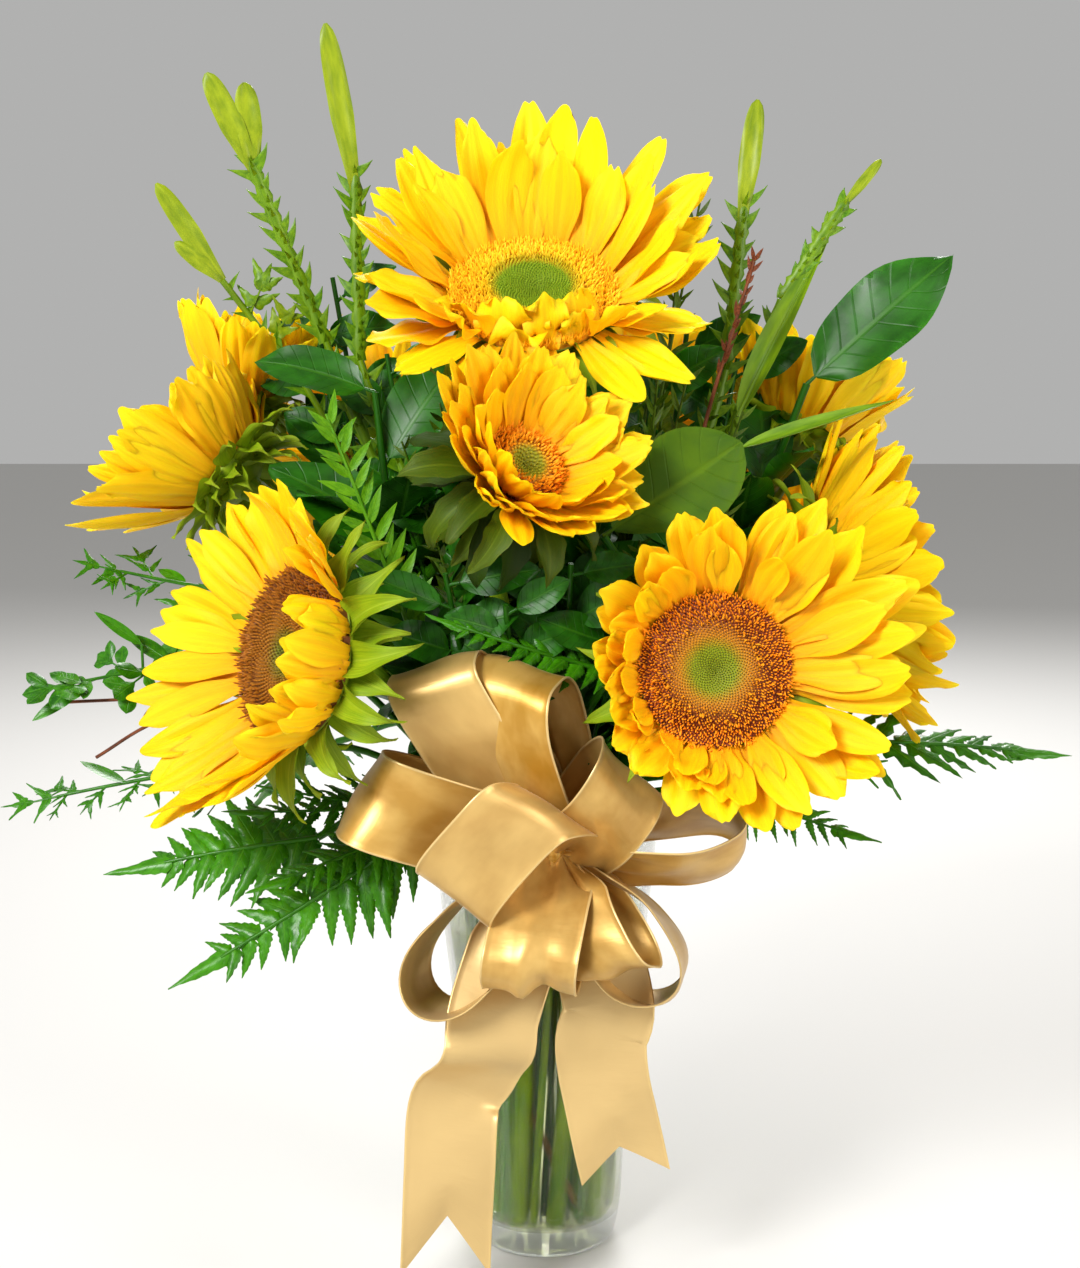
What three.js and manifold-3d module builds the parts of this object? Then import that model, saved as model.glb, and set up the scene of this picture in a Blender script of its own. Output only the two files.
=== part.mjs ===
// Sunflowers in a clear glass vase, with greens and a satin ribbon bow.
// Millimetres, +Z up, origin at the middle of the vase's underside, front of the bouquet towards -Y.
import * as THREE from "three";
import { mergeVertices } from "three/addons/utils/BufferGeometryUtils.js";
import Module from "manifold-3d";

const wasm = await Module();
wasm.setup();
const { Manifold, Mesh: SolidMesh } = wasm;

// ---------------------------------------------------------------- driving dimensions

const CLEAR = 0.35; // air left between two nodes

const VASE_HEIGHT = 200;
const VASE_FLOOR = 12; // thickness of the glass under the water
const GLASS = 3; // wall
const VASE_SIDES = 20;
// outer radius of the vase at a few heights, from the foot to the rim
const VASE_OUTLINE = [[0, 29], [5, 32.5], [20, 35.2], [45, 36.2], [80, 38.5], [120, 42.8], [190, 50.5]];
const RIM_RADIUS = 52;

const WATER_LEVEL = 150;
const HOLE_SPARE = 0.6; // air round a stem in its hole in the water

const FLOWER_STEM = 3.8; // radius
const GREEN_STEM = 1.7;
const STEM_FOOT = VASE_FLOOR + 2; // a hole ends under it, still in the water
const RIM_RING = 37; // radius of the ring of stems at the rim
const FOOT_RING = 23; // and on the vase's floor
const STEM_TWIST = 22; // degrees that the bunch turns from floor to rim

const PETAL_THICK = 0.8;
const LEAF_THICK = 0.8;

const RIBBON_WIDTH = 38;
const RIBBON_THICK = 0.8;
const BOW_WAIST = [5, -80, 201];
const TAIL_ROOT = [5, -75, 194];
const KNOT = [13, 11, 14]; // half sizes

// Each bloom: the middle of its disc, the way it faces, the disc's radius, the petals' length and number,
// how far they rise from the disc's plane opposite its low side and at it (degrees), where that side is
// (degrees round the disc from its top, 180 where none is given), how long the petals are there as a share
// (1 where none is given), how sharply that side is set off, and its stem's place: degrees round the bunch
// at the rim, and the share of the ring's radius.
const BLOOMS = {
  top: {
    at: [-5, -35, 428], face: [0.02, -0.634, 0.773], disc: 35.5, petal: 62, count: 16, rise: [44, 12],
    reach: 0.74, slot: [250, 0.36],
  },
  centre: {
    at: [-9, -98, 360], face: [0.45, -0.7, 0.55], disc: 18, petal: 36, count: 14, rise: [58, 56],
    slot: [262, 1], bract: 1.8,
  },
  lower_left: {
    at: [-99, -105, 287], face: [-0.743, -0.63, 0.224], disc: 36, petal: 54, count: 15, rise: [18, 88],
    low: 100, reach: 0.62, slot: [222, 1],
  },
  left: {
    at: [-139, -6, 353], face: [-0.79, 0.22, 0.57], disc: 21, petal: 55, count: 12, rise: [50, 56],
    slot: [182, 1],
  },
  upper_left: {
    at: [-137, 44, 382], face: [0.03, 0.25, 0.97], disc: 18, petal: 55, count: 11, rise: [64, 68],
    slot: [150, 0.36],
  },
  lower_right: {
    at: [65, -122, 284], face: [-0.14, -0.97, 0.2], disc: 31, petal: 50, count: 16, rise: [14, 58],
    low: 262, reach: 0.42, focus: 0.75, slot: [302, 1],
  },
  right: {
    at: [120, -22, 304], face: [0.95, 0.13, 0.14], disc: 30, petal: 54, count: 14, rise: [46, 50],
    slot: [345, 1],
  },
  upper_right: {
    at: [114, 48, 368], face: [0.3, 0.4, 0.87], disc: 22, petal: 52, count: 11, rise: [50, 52],
    slot: [30, 0.36],
  },
  back_left: {
    at: [-74, 106, 346], face: [-0.45, 0.8, 0.4], disc: 30, petal: 50, count: 11, rise: [30, 24],
    slot: [124, 1],
  },
  back: {
    at: [34, 126, 364], face: [0.15, 0.86, 0.5], disc: 30, petal: 50, count: 11, rise: [28, 22],
    slot: [78, 1],
  },
  back_right: {
    at: [104, 98, 290], face: [0.7, 0.7, 0.12], disc: 29, petal: 46, count: 11, rise: [26, 24],
    slot: [35, 1],
  },
};

// ---------------------------------------------------------------- small maths

const vec = (x, y, z) => new THREE.Vector3(x, y, z);
const from = (list) => vec(...list);
const turn = (degrees) => (degrees * Math.PI) / 180;
const mix = (a, b, share) => a + (b - a) * share;

// A repeatable draw between low and high.
function dice(seed) {
  let state = seed;
  return (low, high) => {
    state = (state * 1664525 + 1013904223) % 4294967296;
    return mix(low, high, state / 4294967296);
  };
}

// Three directions at right angles: face, and up and side in the plane that it looks out of.
function frameOf(face) {
  const out = from(face).normalize();
  const lean = Math.abs(out.z) > 0.98 ? vec(0, 1, 0) : vec(0, 0, 1);
  const up = lean.addScaledVector(out, -lean.dot(out)).normalize();
  return { out, up, side: new THREE.Vector3().crossVectors(up, out) };
}

// ---------------------------------------------------------------- solids

function solidFrom(points, faces) {
  const vertProperties = new Float32Array(points.flatMap((p) => [p.x, p.y, p.z]));
  const make = (triVerts) => new Manifold(new SolidMesh({ numProp: 3, vertProperties, triVerts }));
  const solid = make(new Uint32Array(faces));
  return solid.volume() > 0 ? solid : make(new Uint32Array(faces).reverse());
}

function solidOf(geometry) {
  const bare = geometry.clone();
  bare.deleteAttribute("normal");
  bare.deleteAttribute("uv");
  const merged = mergeVertices(bare, 1e-3);
  const place = merged.attributes.position;
  const points = Array.from({ length: place.count }, (_, i) => vec(0, 0, 0).fromBufferAttribute(place, i));
  const corners = Array.from(merged.index.array);
  const faces = [];
  for (let i = 0; i < corners.length; i += 3) {
    const face = corners.slice(i, i + 3);
    if (new Set(face).size === 3) {
      faces.push(...face);
    }
  }
  return solidFrom(points, faces);
}

// One body out of many: sealed hollows are filled and loose scraps are left out.
function fuse(solids, coarse = 0.08) {
  const bodies = Manifold.union(solids).simplify(coarse).decompose();
  bodies.sort((a, b) => b.volume() - a.volume());
  return bodies[0];
}

// A thin sheet through rows of points, each row with its own normal; a row of one point is a tip.
// Both faces are split into triangles alike.
function sheet(rows, thick) {
  const points = [];
  const faces = [];
  const width = Math.max(...rows.map((row) => row.points.length));
  const layer = (row, shift) => {
    const raise = row.normal.clone().multiplyScalar(shift);
    const made = row.points.map((point) => points.push(point.clone().add(raise)) - 1);
    return made.length === width ? made : Array(width).fill(made[0]);
  };
  const tops = rows.map((row) => layer(row, thick / 2));
  const bottoms = rows.map((row) => layer(row, -thick / 2));
  const triangle = (a, b, c) => {
    if (a !== b && b !== c && a !== c) {
      faces.push(a, b, c);
    }
  };
  const quad = (a, b, c, d) => {
    triangle(a, b, c);
    triangle(a, c, d);
  };
  const last = rows.length - 1;
  for (let i = 0; i < last; i += 1) {
    for (let j = 0; j < width - 1; j += 1) {
      quad(tops[i][j], tops[i][j + 1], tops[i + 1][j + 1], tops[i + 1][j]);
      triangle(bottoms[i][j], bottoms[i + 1][j + 1], bottoms[i][j + 1]);
      triangle(bottoms[i][j], bottoms[i + 1][j], bottoms[i + 1][j + 1]);
    }
    quad(tops[i][0], tops[i + 1][0], bottoms[i + 1][0], bottoms[i][0]);
    quad(tops[i + 1][width - 1], tops[i][width - 1], bottoms[i][width - 1], bottoms[i + 1][width - 1]);
  }
  for (let j = 0; j < width - 1; j += 1) {
    quad(tops[0][j + 1], tops[0][j], bottoms[0][j], bottoms[0][j + 1]);
    quad(tops[last][j], tops[last][j + 1], bottoms[last][j + 1], bottoms[last][j]);
  }
  return solidFrom(points, faces);
}

// A blade that starts at root along way, with its face turned to normal, and curls by bend degrees
// towards that face. outline lists [share of the length, half width] pairs.
function blade({ root, way, normal, length, bend = 0, outline, thick = LEAF_THICK }) {
  const ahead = way.clone().normalize();
  const face = normal.clone().addScaledVector(ahead, -normal.dot(ahead)).normalize();
  const side = new THREE.Vector3().crossVectors(ahead, face);
  const rows = [];
  const centre = root.clone();
  let before = 0;
  for (const [share, half] of outline) {
    const middle = turn(bend) * (share + before) * 0.5;
    const step = (share - before) * length;
    centre.addScaledVector(ahead, Math.cos(middle) * step).addScaledVector(face, Math.sin(middle) * step);
    before = share;
    const angle = turn(bend) * share;
    const rowFace = face.clone().multiplyScalar(Math.cos(angle)).addScaledVector(ahead, -Math.sin(angle));
    const across = [-half, half].map((shift) => centre.clone().addScaledVector(side, shift));
    rows.push({ points: half > 0 ? across : [centre.clone()], normal: rowFace });
  }
  return sheet(rows, thick);
}

// Half widths of a blade cut to its rib: forward-leaning leaflets that swell to wide at share peak and
// shrink to the tip. The last stretch, strap, is a smooth narrow leaf of half width ending.
function cutOutline({ pairs, wide, rib, peak = 0.4, strap = 0, ending = 4 }) {
  const outline = [];
  const cut = 1 - strap;
  for (let i = 0; i < pairs; i += 1) {
    const share = i / pairs;
    const beyond = mix(1, strap ? 0.6 : 0.25, (share - peak) / (1 - peak));
    const swell = share < peak ? mix(0.6, 1, share / peak) : beyond;
    outline.push([share * cut, rib], [(share + 0.72 / pairs) * cut, wide * swell]);
  }
  const leaf = [[cut, rib], [cut + strap * 0.35, ending * 0.8], [cut + strap * 0.75, ending], [1, 0]];
  return outline.concat(strap ? leaf : [[1, 0]]);
}

function regular(sides, radius) {
  const corners = Array.from({ length: sides }, (_, i) => {
    const angle = (i / sides) * Math.PI * 2;
    return new THREE.Vector2(Math.cos(angle) * radius, Math.sin(angle) * radius);
  });
  return new THREE.Shape(corners);
}

function tube(points, radius, sides, steps) {
  const path = new THREE.CatmullRomCurve3(points, false, "centripetal");
  return solidOf(new THREE.ExtrudeGeometry(regular(sides, radius), { steps, extrudePath: path }));
}

// A turned solid in the frame of a bloom: profile pairs are [radius, height along the way it faces].
function turned(profile, sides, at, frame) {
  const outline = profile.map(([radius, height]) => new THREE.Vector2(radius, height));
  const geometry = new THREE.LatheGeometry(outline, sides);
  const place = new THREE.Matrix4().makeBasis(frame.side, frame.out, frame.up).setPosition(at);
  return solidOf(geometry.applyMatrix4(place));
}

const UPRIGHT = { side: vec(0, 1, 0), out: vec(0, 0, 1), up: vec(1, 0, 0) };

// ---------------------------------------------------------------- what is placed, and keeping clear of it

const bouquet = new THREE.Group();
const placed = []; // every solid so far, with the node that it belongs to

function isClear(node, solid) {
  const { min, max } = solid.boundingBox();
  return placed.every((other) => {
    const apart = [0, 1, 2].some((k) => other.min[k] > max[k] + CLEAR || other.max[k] < min[k] - CLEAR);
    return other.node === node || apart || solid.minGap(other.solid, CLEAR) >= CLEAR;
  });
}

function keep(node, solid) {
  placed.push({ node, solid, ...solid.boundingBox() });
  return solid;
}

// The first of several bends of a blade that clears every other node, or nothing.
const BENDS = [0, 8, -8, 16, -16, 26, -26, 38, -38, 52, -52];
function bendClear(node, make) {
  for (const extra of BENDS) {
    const solid = make(extra);
    if (isClear(node, solid)) {
      return [keep(node, solid)];
    }
  }
  return [];
}

function addMesh(name, solid, material) {
  const { vertProperties, triVerts } = solid.getMesh();
  const geometry = new THREE.BufferGeometry();
  geometry.setAttribute("position", new THREE.BufferAttribute(new Float32Array(vertProperties), 3));
  geometry.setIndex(Array.from(triVerts));
  geometry.computeVertexNormals();
  const mesh = new THREE.Mesh(geometry, material);
  mesh.name = name;
  bouquet.add(mesh);
}

const paint = (color, roughness, more = {}) => new THREE.MeshStandardMaterial({ color, roughness, ...more });
const MATERIALS = {
  glass: paint(0xe8f0ee, 0.05, { transparent: true, opacity: 0.35 }),
  water: paint(0xd7e0cf, 0.05, { transparent: true, opacity: 0.4 }),
  petal: paint(0xf7b90a, 0.6),
  disc: paint(0x8a5412, 0.85),
  calyx: paint(0x5f8a34, 0.7),
  leaf: paint(0x1f4a1f, 0.45),
  fern: paint(0x35702b, 0.5),
  spike: paint(0x6f8a3c, 0.65),
  ribbon: paint(0xc9973c, 0.35),
  pick: paint(0x4c5a2c, 0.8),
};

// ---------------------------------------------------------------- vase

function vaseRadius(height) {
  const outline = [...VASE_OUTLINE, [VASE_HEIGHT, RIM_RADIUS]];
  const upper = outline.findIndex(([level]) => level >= height);
  const [highLevel, highRadius] = outline[upper];
  const [lowLevel, lowRadius] = outline[Math.max(upper - 1, 0)];
  const share = highLevel === lowLevel ? 1 : (height - lowLevel) / (highLevel - lowLevel);
  return mix(lowRadius, highRadius, share);
}

const WALL_LEVELS = VASE_OUTLINE.map(([level]) => level).filter((level) => level > VASE_FLOOR);

// Inner wall of the glass, drawn in by inset: from the middle of the floor up to top.
function innerProfile(top, inset) {
  const corner = vaseRadius(VASE_FLOOR + 4) - GLASS - inset;
  const levels = WALL_LEVELS.filter((level) => level < top && level > VASE_FLOOR + 6);
  const wall = levels.map((level) => [vaseRadius(level) - GLASS - inset, level]);
  return [[0, VASE_FLOOR + inset], [corner - 5, VASE_FLOOR + inset], [corner, VASE_FLOOR + 5], ...wall];
}

function makeVase() {
  const outside = VASE_OUTLINE.map(([level, radius]) => [radius, level]);
  const inside = innerProfile(VASE_HEIGHT - 4, 0);
  const lip = [[0, -2], [-1.2, 0], [-GLASS, -1.5]].map(([r, h]) => [RIM_RADIUS + r, VASE_HEIGHT + h]);
  const profile = [[0, 0], ...outside, ...lip, ...inside.reverse()];
  addMesh("vase", keep("vase", turned(profile, VASE_SIDES, vec(0, 0, 0), UPRIGHT)), MATERIALS.glass);
}

// ---------------------------------------------------------------- stems, which share the vase

const holes = []; // one for each stem, cut from the water

// Straight from the floor of the vase to the rim, then on through the points given.
function stemPoints([degrees, share], onward) {
  const onRing = (angle, radius, height) => vec(radius, 0, height).applyAxisAngle(vec(0, 0, 1), turn(angle));
  const foot = onRing(degrees - STEM_TWIST, FOOT_RING * share, STEM_FOOT);
  const rim = onRing(degrees, RIM_RING * share, VASE_HEIGHT);
  return [0, 0.26, 0.53, 0.79, 1].map((part) => foot.clone().lerp(rim, part)).concat(onward);
}

function makeStem(node, slot, onward, radius, steps) {
  const points = stemPoints(slot, onward);
  const sides = radius > 3 ? 5 : 4;
  const down = points[0].clone().add(points[0].clone().sub(points[1]).setLength(HOLE_SPARE));
  const above = points[3];
  holes.push(tube([down, above], (radius + HOLE_SPARE) / Math.cos(Math.PI / sides), sides, 1));
  return keep(node, tube(points, radius, sides, steps));
}

function makeWater() {
  const inside = innerProfile(WATER_LEVEL, 0.3);
  const surface = vaseRadius(WATER_LEVEL) - GLASS - 0.3;
  const profile = [...inside, [surface, WATER_LEVEL], [0, WATER_LEVEL]];
  const body = turned(profile, VASE_SIDES / 2, vec(0, 0, 0), UPRIGHT);
  addMesh("water", keep("water", fuse([body.subtract(Manifold.union(holes))])), MATERIALS.water);
}

// ---------------------------------------------------------------- sunflowers

const PETAL_SEED = 40; // the first bloom's draws; each next bloom adds one
const BRACT_SEED = 80;
const HEAD_DEPTH = 13; // from the disc's plane to where the stem meets the green cup

// Outward from the middle of a disc, angle round from its top.
function alongDisc(frame, angle) {
  return frame.up.clone().multiplyScalar(Math.cos(angle)).addScaledVector(frame.side, Math.sin(angle));
}

// The disc: a shallow dome, low in the middle, with its florets as relief in rings that step half a place.
function makeDisc(node, { at, disc }, frame) {
  const rings = 4;
  const around = disc > 30 ? 14 : 10;
  const radius = disc - 2.4;
  const points = [];
  const place = (r, angle, height) => {
    const outward = alongDisc(frame, angle);
    return points.push(from(at).addScaledVector(outward, r).addScaledVector(frame.out, height)) - 1;
  };
  const ring = (k) => Array.from({ length: around }, (_, i) => {
    const share = k / rings;
    const bump = k < rings && k > 1 ? 0.9 * (i % 2 ? 1 : -1) : 0;
    const dome = 2.5 + 4.5 * Math.sin(Math.PI * Math.min(1, share * 1.15) ** 1.3);
    return place(radius * share, ((i + k / 2) / around) * Math.PI * 2, k === rings ? 0.5 : dome + bump);
  });
  const middle = place(0, 0, 2.2);
  const loops = Array.from({ length: rings }, (_, k) => ring(k + 1));
  const under = Array.from({ length: around }, (_, i) => {
    return place(radius - 1, ((i + rings / 2) / around) * Math.PI * 2, -2.9);
  });
  loops.push(under);
  const below = place(0, 0, -2.9);
  const faces = [];
  for (let i = 0; i < around; i += 1) {
    const next = (i + 1) % around;
    faces.push(middle, loops[0][i], loops[0][next]);
    for (let k = 0; k < loops.length - 1; k += 1) {
      const inner = loops[k];
      const outer = loops[k + 1];
      faces.push(inner[i], outer[i], inner[next]);
      faces.push(inner[next], outer[i], outer[next]);
    }
    faces.push(below, under[next], under[i]);
  }
  addMesh(node, keep(node, solidFrom(points, faces)), MATERIALS.disc);
}

// The narrow ring round the disc that the petals grow from.
function makeRing(node, { at, disc }, frame) {
  const sides = 12;
  const inner = (disc - 2) / Math.cos(Math.PI / sides);
  const profile = [[inner, -2.8], [disc + 2.4, -1.9], [inner, 0.6], [inner, -2.8]];
  return [keep(node, turned(profile, sides, from(at), frame))];
}

// Ray petals in two layers.
function makePetals(node, bloom, frame, seed, solids) {
  const draw = dice(seed);
  const { disc, petal, count, rise, low = 180, reach = 1, focus = 1.5 } = bloom;
  const at = from(bloom.at);
  for (let i = 0; i < count; i += 1) {
    const angle = ((i + draw(-0.18, 0.18)) / count) * Math.PI * 2;
    const outward = alongDisc(frame, angle);
    const near = ((1 + Math.cos(angle - turn(low))) / 2) ** focus;
    const lift = mix(rise[0], rise[1], near) + (i % 2 ? 15 : -6) + draw(-4, 4);
    const length = petal * mix(1, reach, near) * draw(0.84, 1.08) * (i % 2 ? 0.88 : 1);
    const half = 3.2 + petal * draw(0.1, 0.125);
    const bend = draw(-14, 20);
    const root = at.clone().addScaledVector(outward, disc - 0.6).addScaledVector(frame.out, -1.4);
    const outline = [[0, 0], [0.3, half * 0.82], [0.66, half], [1, 0]];
    solids.push(...bendClear(node, (extra) => {
      const pitch = turn(lift + extra);
      const way = outward.clone().multiplyScalar(Math.cos(pitch)).addScaledVector(frame.out, Math.sin(pitch));
      return blade({ root, way, normal: frame.out, length, bend, outline, thick: PETAL_THICK });
    }));
  }
  addMesh(node, fuse(solids), MATERIALS.petal);
}

// The green cup under the disc, its stem down to the vase's floor.
function makeCup(node, { at, disc, slot }, frame) {
  const middle = from(at);
  const profile = [[0, -3.2], [disc - 3, -3.2], [disc * 0.78, -7.5], [0, -HEAD_DEPTH]];
  const back = middle.clone().addScaledVector(frame.out, 4 - HEAD_DEPTH);
  const behind = middle.clone().addScaledVector(frame.out, -HEAD_DEPTH - 22);
  const rim = stemPoints(slot, []).at(-1);
  const bend = rim.clone().lerp(behind, 0.55).add(vec(0, 0, 8));
  const cup = keep(node, turned(profile, 10, middle, frame));
  return [cup, makeStem(node, slot, [bend, behind, back], FLOWER_STEM, 8)];
}

// Two rows of pointed bracts that reach out behind the petals, their tips curled back.
function makeBracts(node, bloom, frame, seed, solids) {
  const draw = dice(seed);
  const { disc, bract = 1 } = bloom;
  const at = from(bloom.at);
  const count = 7;
  for (let i = 0; i < count; i += 1) {
    const angle = ((i + draw(-0.15, 0.15)) / count) * Math.PI * 2;
    const outward = alongDisc(frame, angle);
    const length = (disc * draw(0.62, 0.8) + 8) * bract;
    const half = (disc * 0.1 + 3) * bract;
    const root = at.clone().addScaledVector(outward, disc * 0.72).addScaledVector(frame.out, -6.6);
    const bend = draw(-50, -15);
    solids.push(...bendClear(node, (extra) => {
      const pitch = turn((i % 2 ? -12 : -30) - Math.abs(extra));
      const way = outward.clone().multiplyScalar(Math.cos(pitch)).addScaledVector(frame.out, Math.sin(pitch));
      return blade({ root, way, normal: frame.out, length, bend, outline: [[0, 0], [0.4, half], [1, 0]] });
    }));
  }
}

const bloomNames = Object.keys(BLOOMS);
const forEachBloom = (make) => Object.fromEntries(bloomNames.map((name) => [name, make(name)]));
const frames = forEachBloom((name) => frameOf(BLOOMS[name].face));

// ---------------------------------------------------------------- ribbon bow

// Each loop: the middle of its far end, the way the ribbon's width lies there (aslant in some), how wide it
// gapes, and how squarely its end is folded (1 is round, less is squarer).
const LOOPS = [
  { tip: [-24, -128, 212], width: [0.78, 0.12, -0.6], gape: 29, square: 0.5 },
  { tip: [-74, -103, 231], width: [-0.46, -0.1, -0.88], gape: 18, square: 0.6 },
  { tip: [-47, -99, 284], width: [0.86, -0.2, -0.4], gape: 15, square: 0.7 },
  { tip: [-12, -105, 281], width: [0.9, -0.4, -0.14], gape: 18, square: 0.65 },
  { tip: [33, -109, 238], width: [0.62, 0.33, -0.72], gape: 15, square: 0.7 },
  { tip: [80, -97, 211], width: [0.05, -0.8, 0.6], gape: 13, square: 0.8 },
  { tip: [-50, -93, 141], width: [-0.27, -0.96, 0.05], gape: 20, square: 1 },
  { tip: [-7, -121, 158], width: [0.98, -0.12, -0.08], gape: 15, square: 0.65 },
  { tip: [27, -113, 160], width: [0.85, -0.45, 0.25], gape: 13, square: 0.65 },
  { tip: [52, -85, 142], width: [-0.1, -0.97, 0.15], gape: 19, square: 1 },
];
// Each tail: the middles of the ribbon on its way down, the way its width lies at its root and at its end, and
// how deep its notch is.
const TAILS = [
  {
    path: [[-10, -80, 168], [-21, -94, 138], [-23, -98, 122], [-30, -92, 108], [-38, -89, 95], [-42, -92, 22]],
    first: [1, 0.12, 0.02], last: [1, 0.1, 0.03], notch: 26,
  },
  {
    path: [[18, -78, 168], [26, -86, 138], [23, -88, 124], [24, -85, 108], [34, -80, 60]],
    first: [0.3, -0.95, -0.1], last: [1, -0.05, 0.06], notch: 14,
  },
];

function makeLoop({ tip, width, gape, square }) {
  const waist = from(BOW_WAIST);
  const ahead = from(tip).sub(waist);
  const length = ahead.length();
  ahead.normalize();
  const across = from(width).normalize();
  const open = new THREE.Vector3().crossVectors(ahead, across).normalize();
  const stations = 7;
  const centres = Array.from({ length: stations + 1 }, (_, i) => {
    const angle = (mix(0.06, 0.94, i / stations)) * Math.PI * 2;
    const reach = (1 - Math.cos(angle)) / 2;
    const gap = Math.sign(Math.sin(angle)) * Math.abs(Math.sin(angle)) ** square * reach ** 0.45 * gape * 1.15;
    const centre = waist.clone().addScaledVector(ahead, reach * length).addScaledVector(open, gap);
    return { centre, half: (RIBBON_WIDTH / 2) * mix(0.34, 1, Math.min(1, reach * 1.8)) };
  });
  const rows = centres.map(({ centre, half }, i) => {
    const before = centres[Math.max(i - 1, 0)].centre;
    const after = centres[Math.min(i + 1, stations)].centre;
    const normal = new THREE.Vector3().crossVectors(across, after.clone().sub(before)).normalize();
    return { points: [-half, half].map((shift) => centre.clone().addScaledVector(across, shift)), normal };
  });
  return sheet(rows, RIBBON_THICK);
}

function makeTail({ path, first, last, notch }) {
  const route = [TAIL_ROOT, ...path].map(from);
  const end = route.length - 1;
  const rows = route.map((centre, i) => {
    const along = route[Math.min(i + 1, end)].clone().sub(route[Math.max(i - 1, 0)]).normalize();
    const width = from(first).lerp(from(last), Math.min(1, (2.6 * i) / end));
    const across = width.addScaledVector(along, -width.dot(along)).normalize();
    const half = (RIBBON_WIDTH / 2) * (i === 0 ? 0.3 : 1);
    const normal = new THREE.Vector3().crossVectors(across, along);
    const at = (shift, lag) => centre.clone().addScaledVector(across, shift).addScaledVector(along, lag);
    return { points: [at(-half, 0), at(0, i === end ? -notch : 0), at(half, 0)], normal };
  });
  return sheet(rows, RIBBON_THICK);
}

// The bow's pick: its head lies just behind the knot, and its point stands among the stems.
function makePick() {
  const waist = from(BOW_WAIST);
  const slot = [279, 1];
  const head = waist.clone().add(vec(0, KNOT[1] + CLEAR, 0));
  const over = vec(head.x, -RIM_RADIUS - 1, VASE_HEIGHT + 5);
  const stem = makeStem("bow_pick", slot, [over, head.clone().add(vec(0, 5, 0)), head], GREEN_STEM, 12);
  addMesh("bow_pick", stem, MATERIALS.pick);
}

function makeBow() {
  const waist = from(BOW_WAIST);
  const knot = solidOf(new THREE.SphereGeometry(1, 6, 4).scale(...KNOT).translate(...waist));
  const solids = [knot, ...LOOPS.map(makeLoop), ...TAILS.map(makeTail)];
  addMesh("ribbon_bow", keep("ribbon_bow", fuse(solids, 0.2)), MATERIALS.ribbon);
}

// ---------------------------------------------------------------- greens

// A leafy stem of lemon leaf: pointed oval leaves, one after another up the stem.
// Each leaf: its share of the stem's length, the way it points, the way its face looks, length and width.
const OVAL = [[0, 0.08], [0.25, 0.85], [0.62, 1], [1, 0]];

const LEAF_STEMS = {
  lemon_leaf_upper_right: {
    slot: [22, 0.66], path: [[70, 12, 290], [98, 8, 345], [118, 14, 388]],
    leaves: [
      [1, [0.75, 0.2, 0.68], [-0.3, -0.85, 0.45], 86, 34],
      [0.86, [0.1, 0.5, 0.9], [0.3, -0.9, 0.2], 62, 28],
      [0.74, [0.5, -0.5, 0.6], [0, -0.7, 0.7], 60, 28],
    ],
  },
  lemon_leaf_right: {
    slot: [322, 0.66], path: [[44, -40, 262], [40, -62, 306], [28, -80, 332]],
    leaves: [
      [1, [0.84, -0.02, 0.55], [0, -0.88, 0.45], 66, 40],
      [0.86, [0.3, 0.1, 0.9], [0, -0.9, 0.3], 60, 30],
      [0.74, [0.8, -0.3, 0.3], [0, -0.5, 0.85], 56, 28],
    ],
  },
  lemon_leaf_left: {
    slot: [208, 0.66], path: [[-52, -20, 275], [-66, -32, 330], [-74, -34, 372]],
    leaves: [
      [1, [-0.9, 0.1, 0.4], [0.2, -0.8, 0.5], 56, 24],
      [0.84, [-0.75, -0.1, 0.55], [0.1, -0.8, 0.5], 62, 30],
      [0.92, [0.5, 0.1, 0.8], [-0.2, -0.9, 0.3], 60, 30],
      [0.7, [-0.5, -0.5, 0.5], [0, -0.7, 0.6], 56, 28],
    ],
  },
  lemon_leaf_front: {
    slot: [290, 0.66], path: [[14, -44, 250], [6, -58, 290], [-4, -64, 326]],
    leaves: [
      [1, [-0.6, -0.1, 0.75], [0.1, -0.95, 0.1], 62, 32],
      [0.82, [-0.8, -0.4, 0.35], [0, -0.7, 0.7], 60, 30],
      [0.7, [0.7, -0.5, 0.1], [0, -0.6, 0.8], 56, 28],
      [0.9, [0.7, -0.2, 0.6], [0, -0.8, 0.5], 52, 28],
    ],
  },
  lemon_leaf_back: {
    slot: [95, 0.66], path: [[-8, 48, 280], [-10, 66, 345], [-14, 72, 400]],
    leaves: [
      [1, [-0.3, 0.3, 0.9], [0, 0.9, -0.3], 74, 32],
      [0.85, [0.7, 0.5, 0.5], [0, 0.7, 0.7], 66, 30],
      [0.72, [-0.7, 0.6, 0.3], [0, 0.6, 0.8], 60, 30],
      [0.6, [0.3, 0.9, -0.1], [0, 0.2, 0.95], 56, 28],
    ],
  },
};

function makeLeafStem(name, { slot, path, leaves }) {
  const points = stemPoints(slot, path.map(from));
  const stem = makeStem(name, slot, path.map(from), GREEN_STEM, 10);
  const curve = new THREE.CatmullRomCurve3(points, false, "centripetal");
  const solids = [stem];
  for (const [share, way, normal, length, width] of leaves) {
    const root = curve.getPointAt(Math.min(share, 0.995));
    solids.push(...bendClear(name, (extra) => {
      const axis = new THREE.Vector3().crossVectors(from(way), from(normal)).normalize();
      const ahead = from(way).normalize().applyAxisAngle(axis, turn(extra));
      const start = root.clone().addScaledVector(ahead, -1.2);
      const outline = OVAL.map(([part, half]) => [part, (half * width) / 2]);
      return blade({ root: start, way: ahead, normal: from(normal), length, bend: -18, outline });
    }));
  }
  addMesh(name, fuse(solids), MATERIALS.leaf);
}

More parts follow.
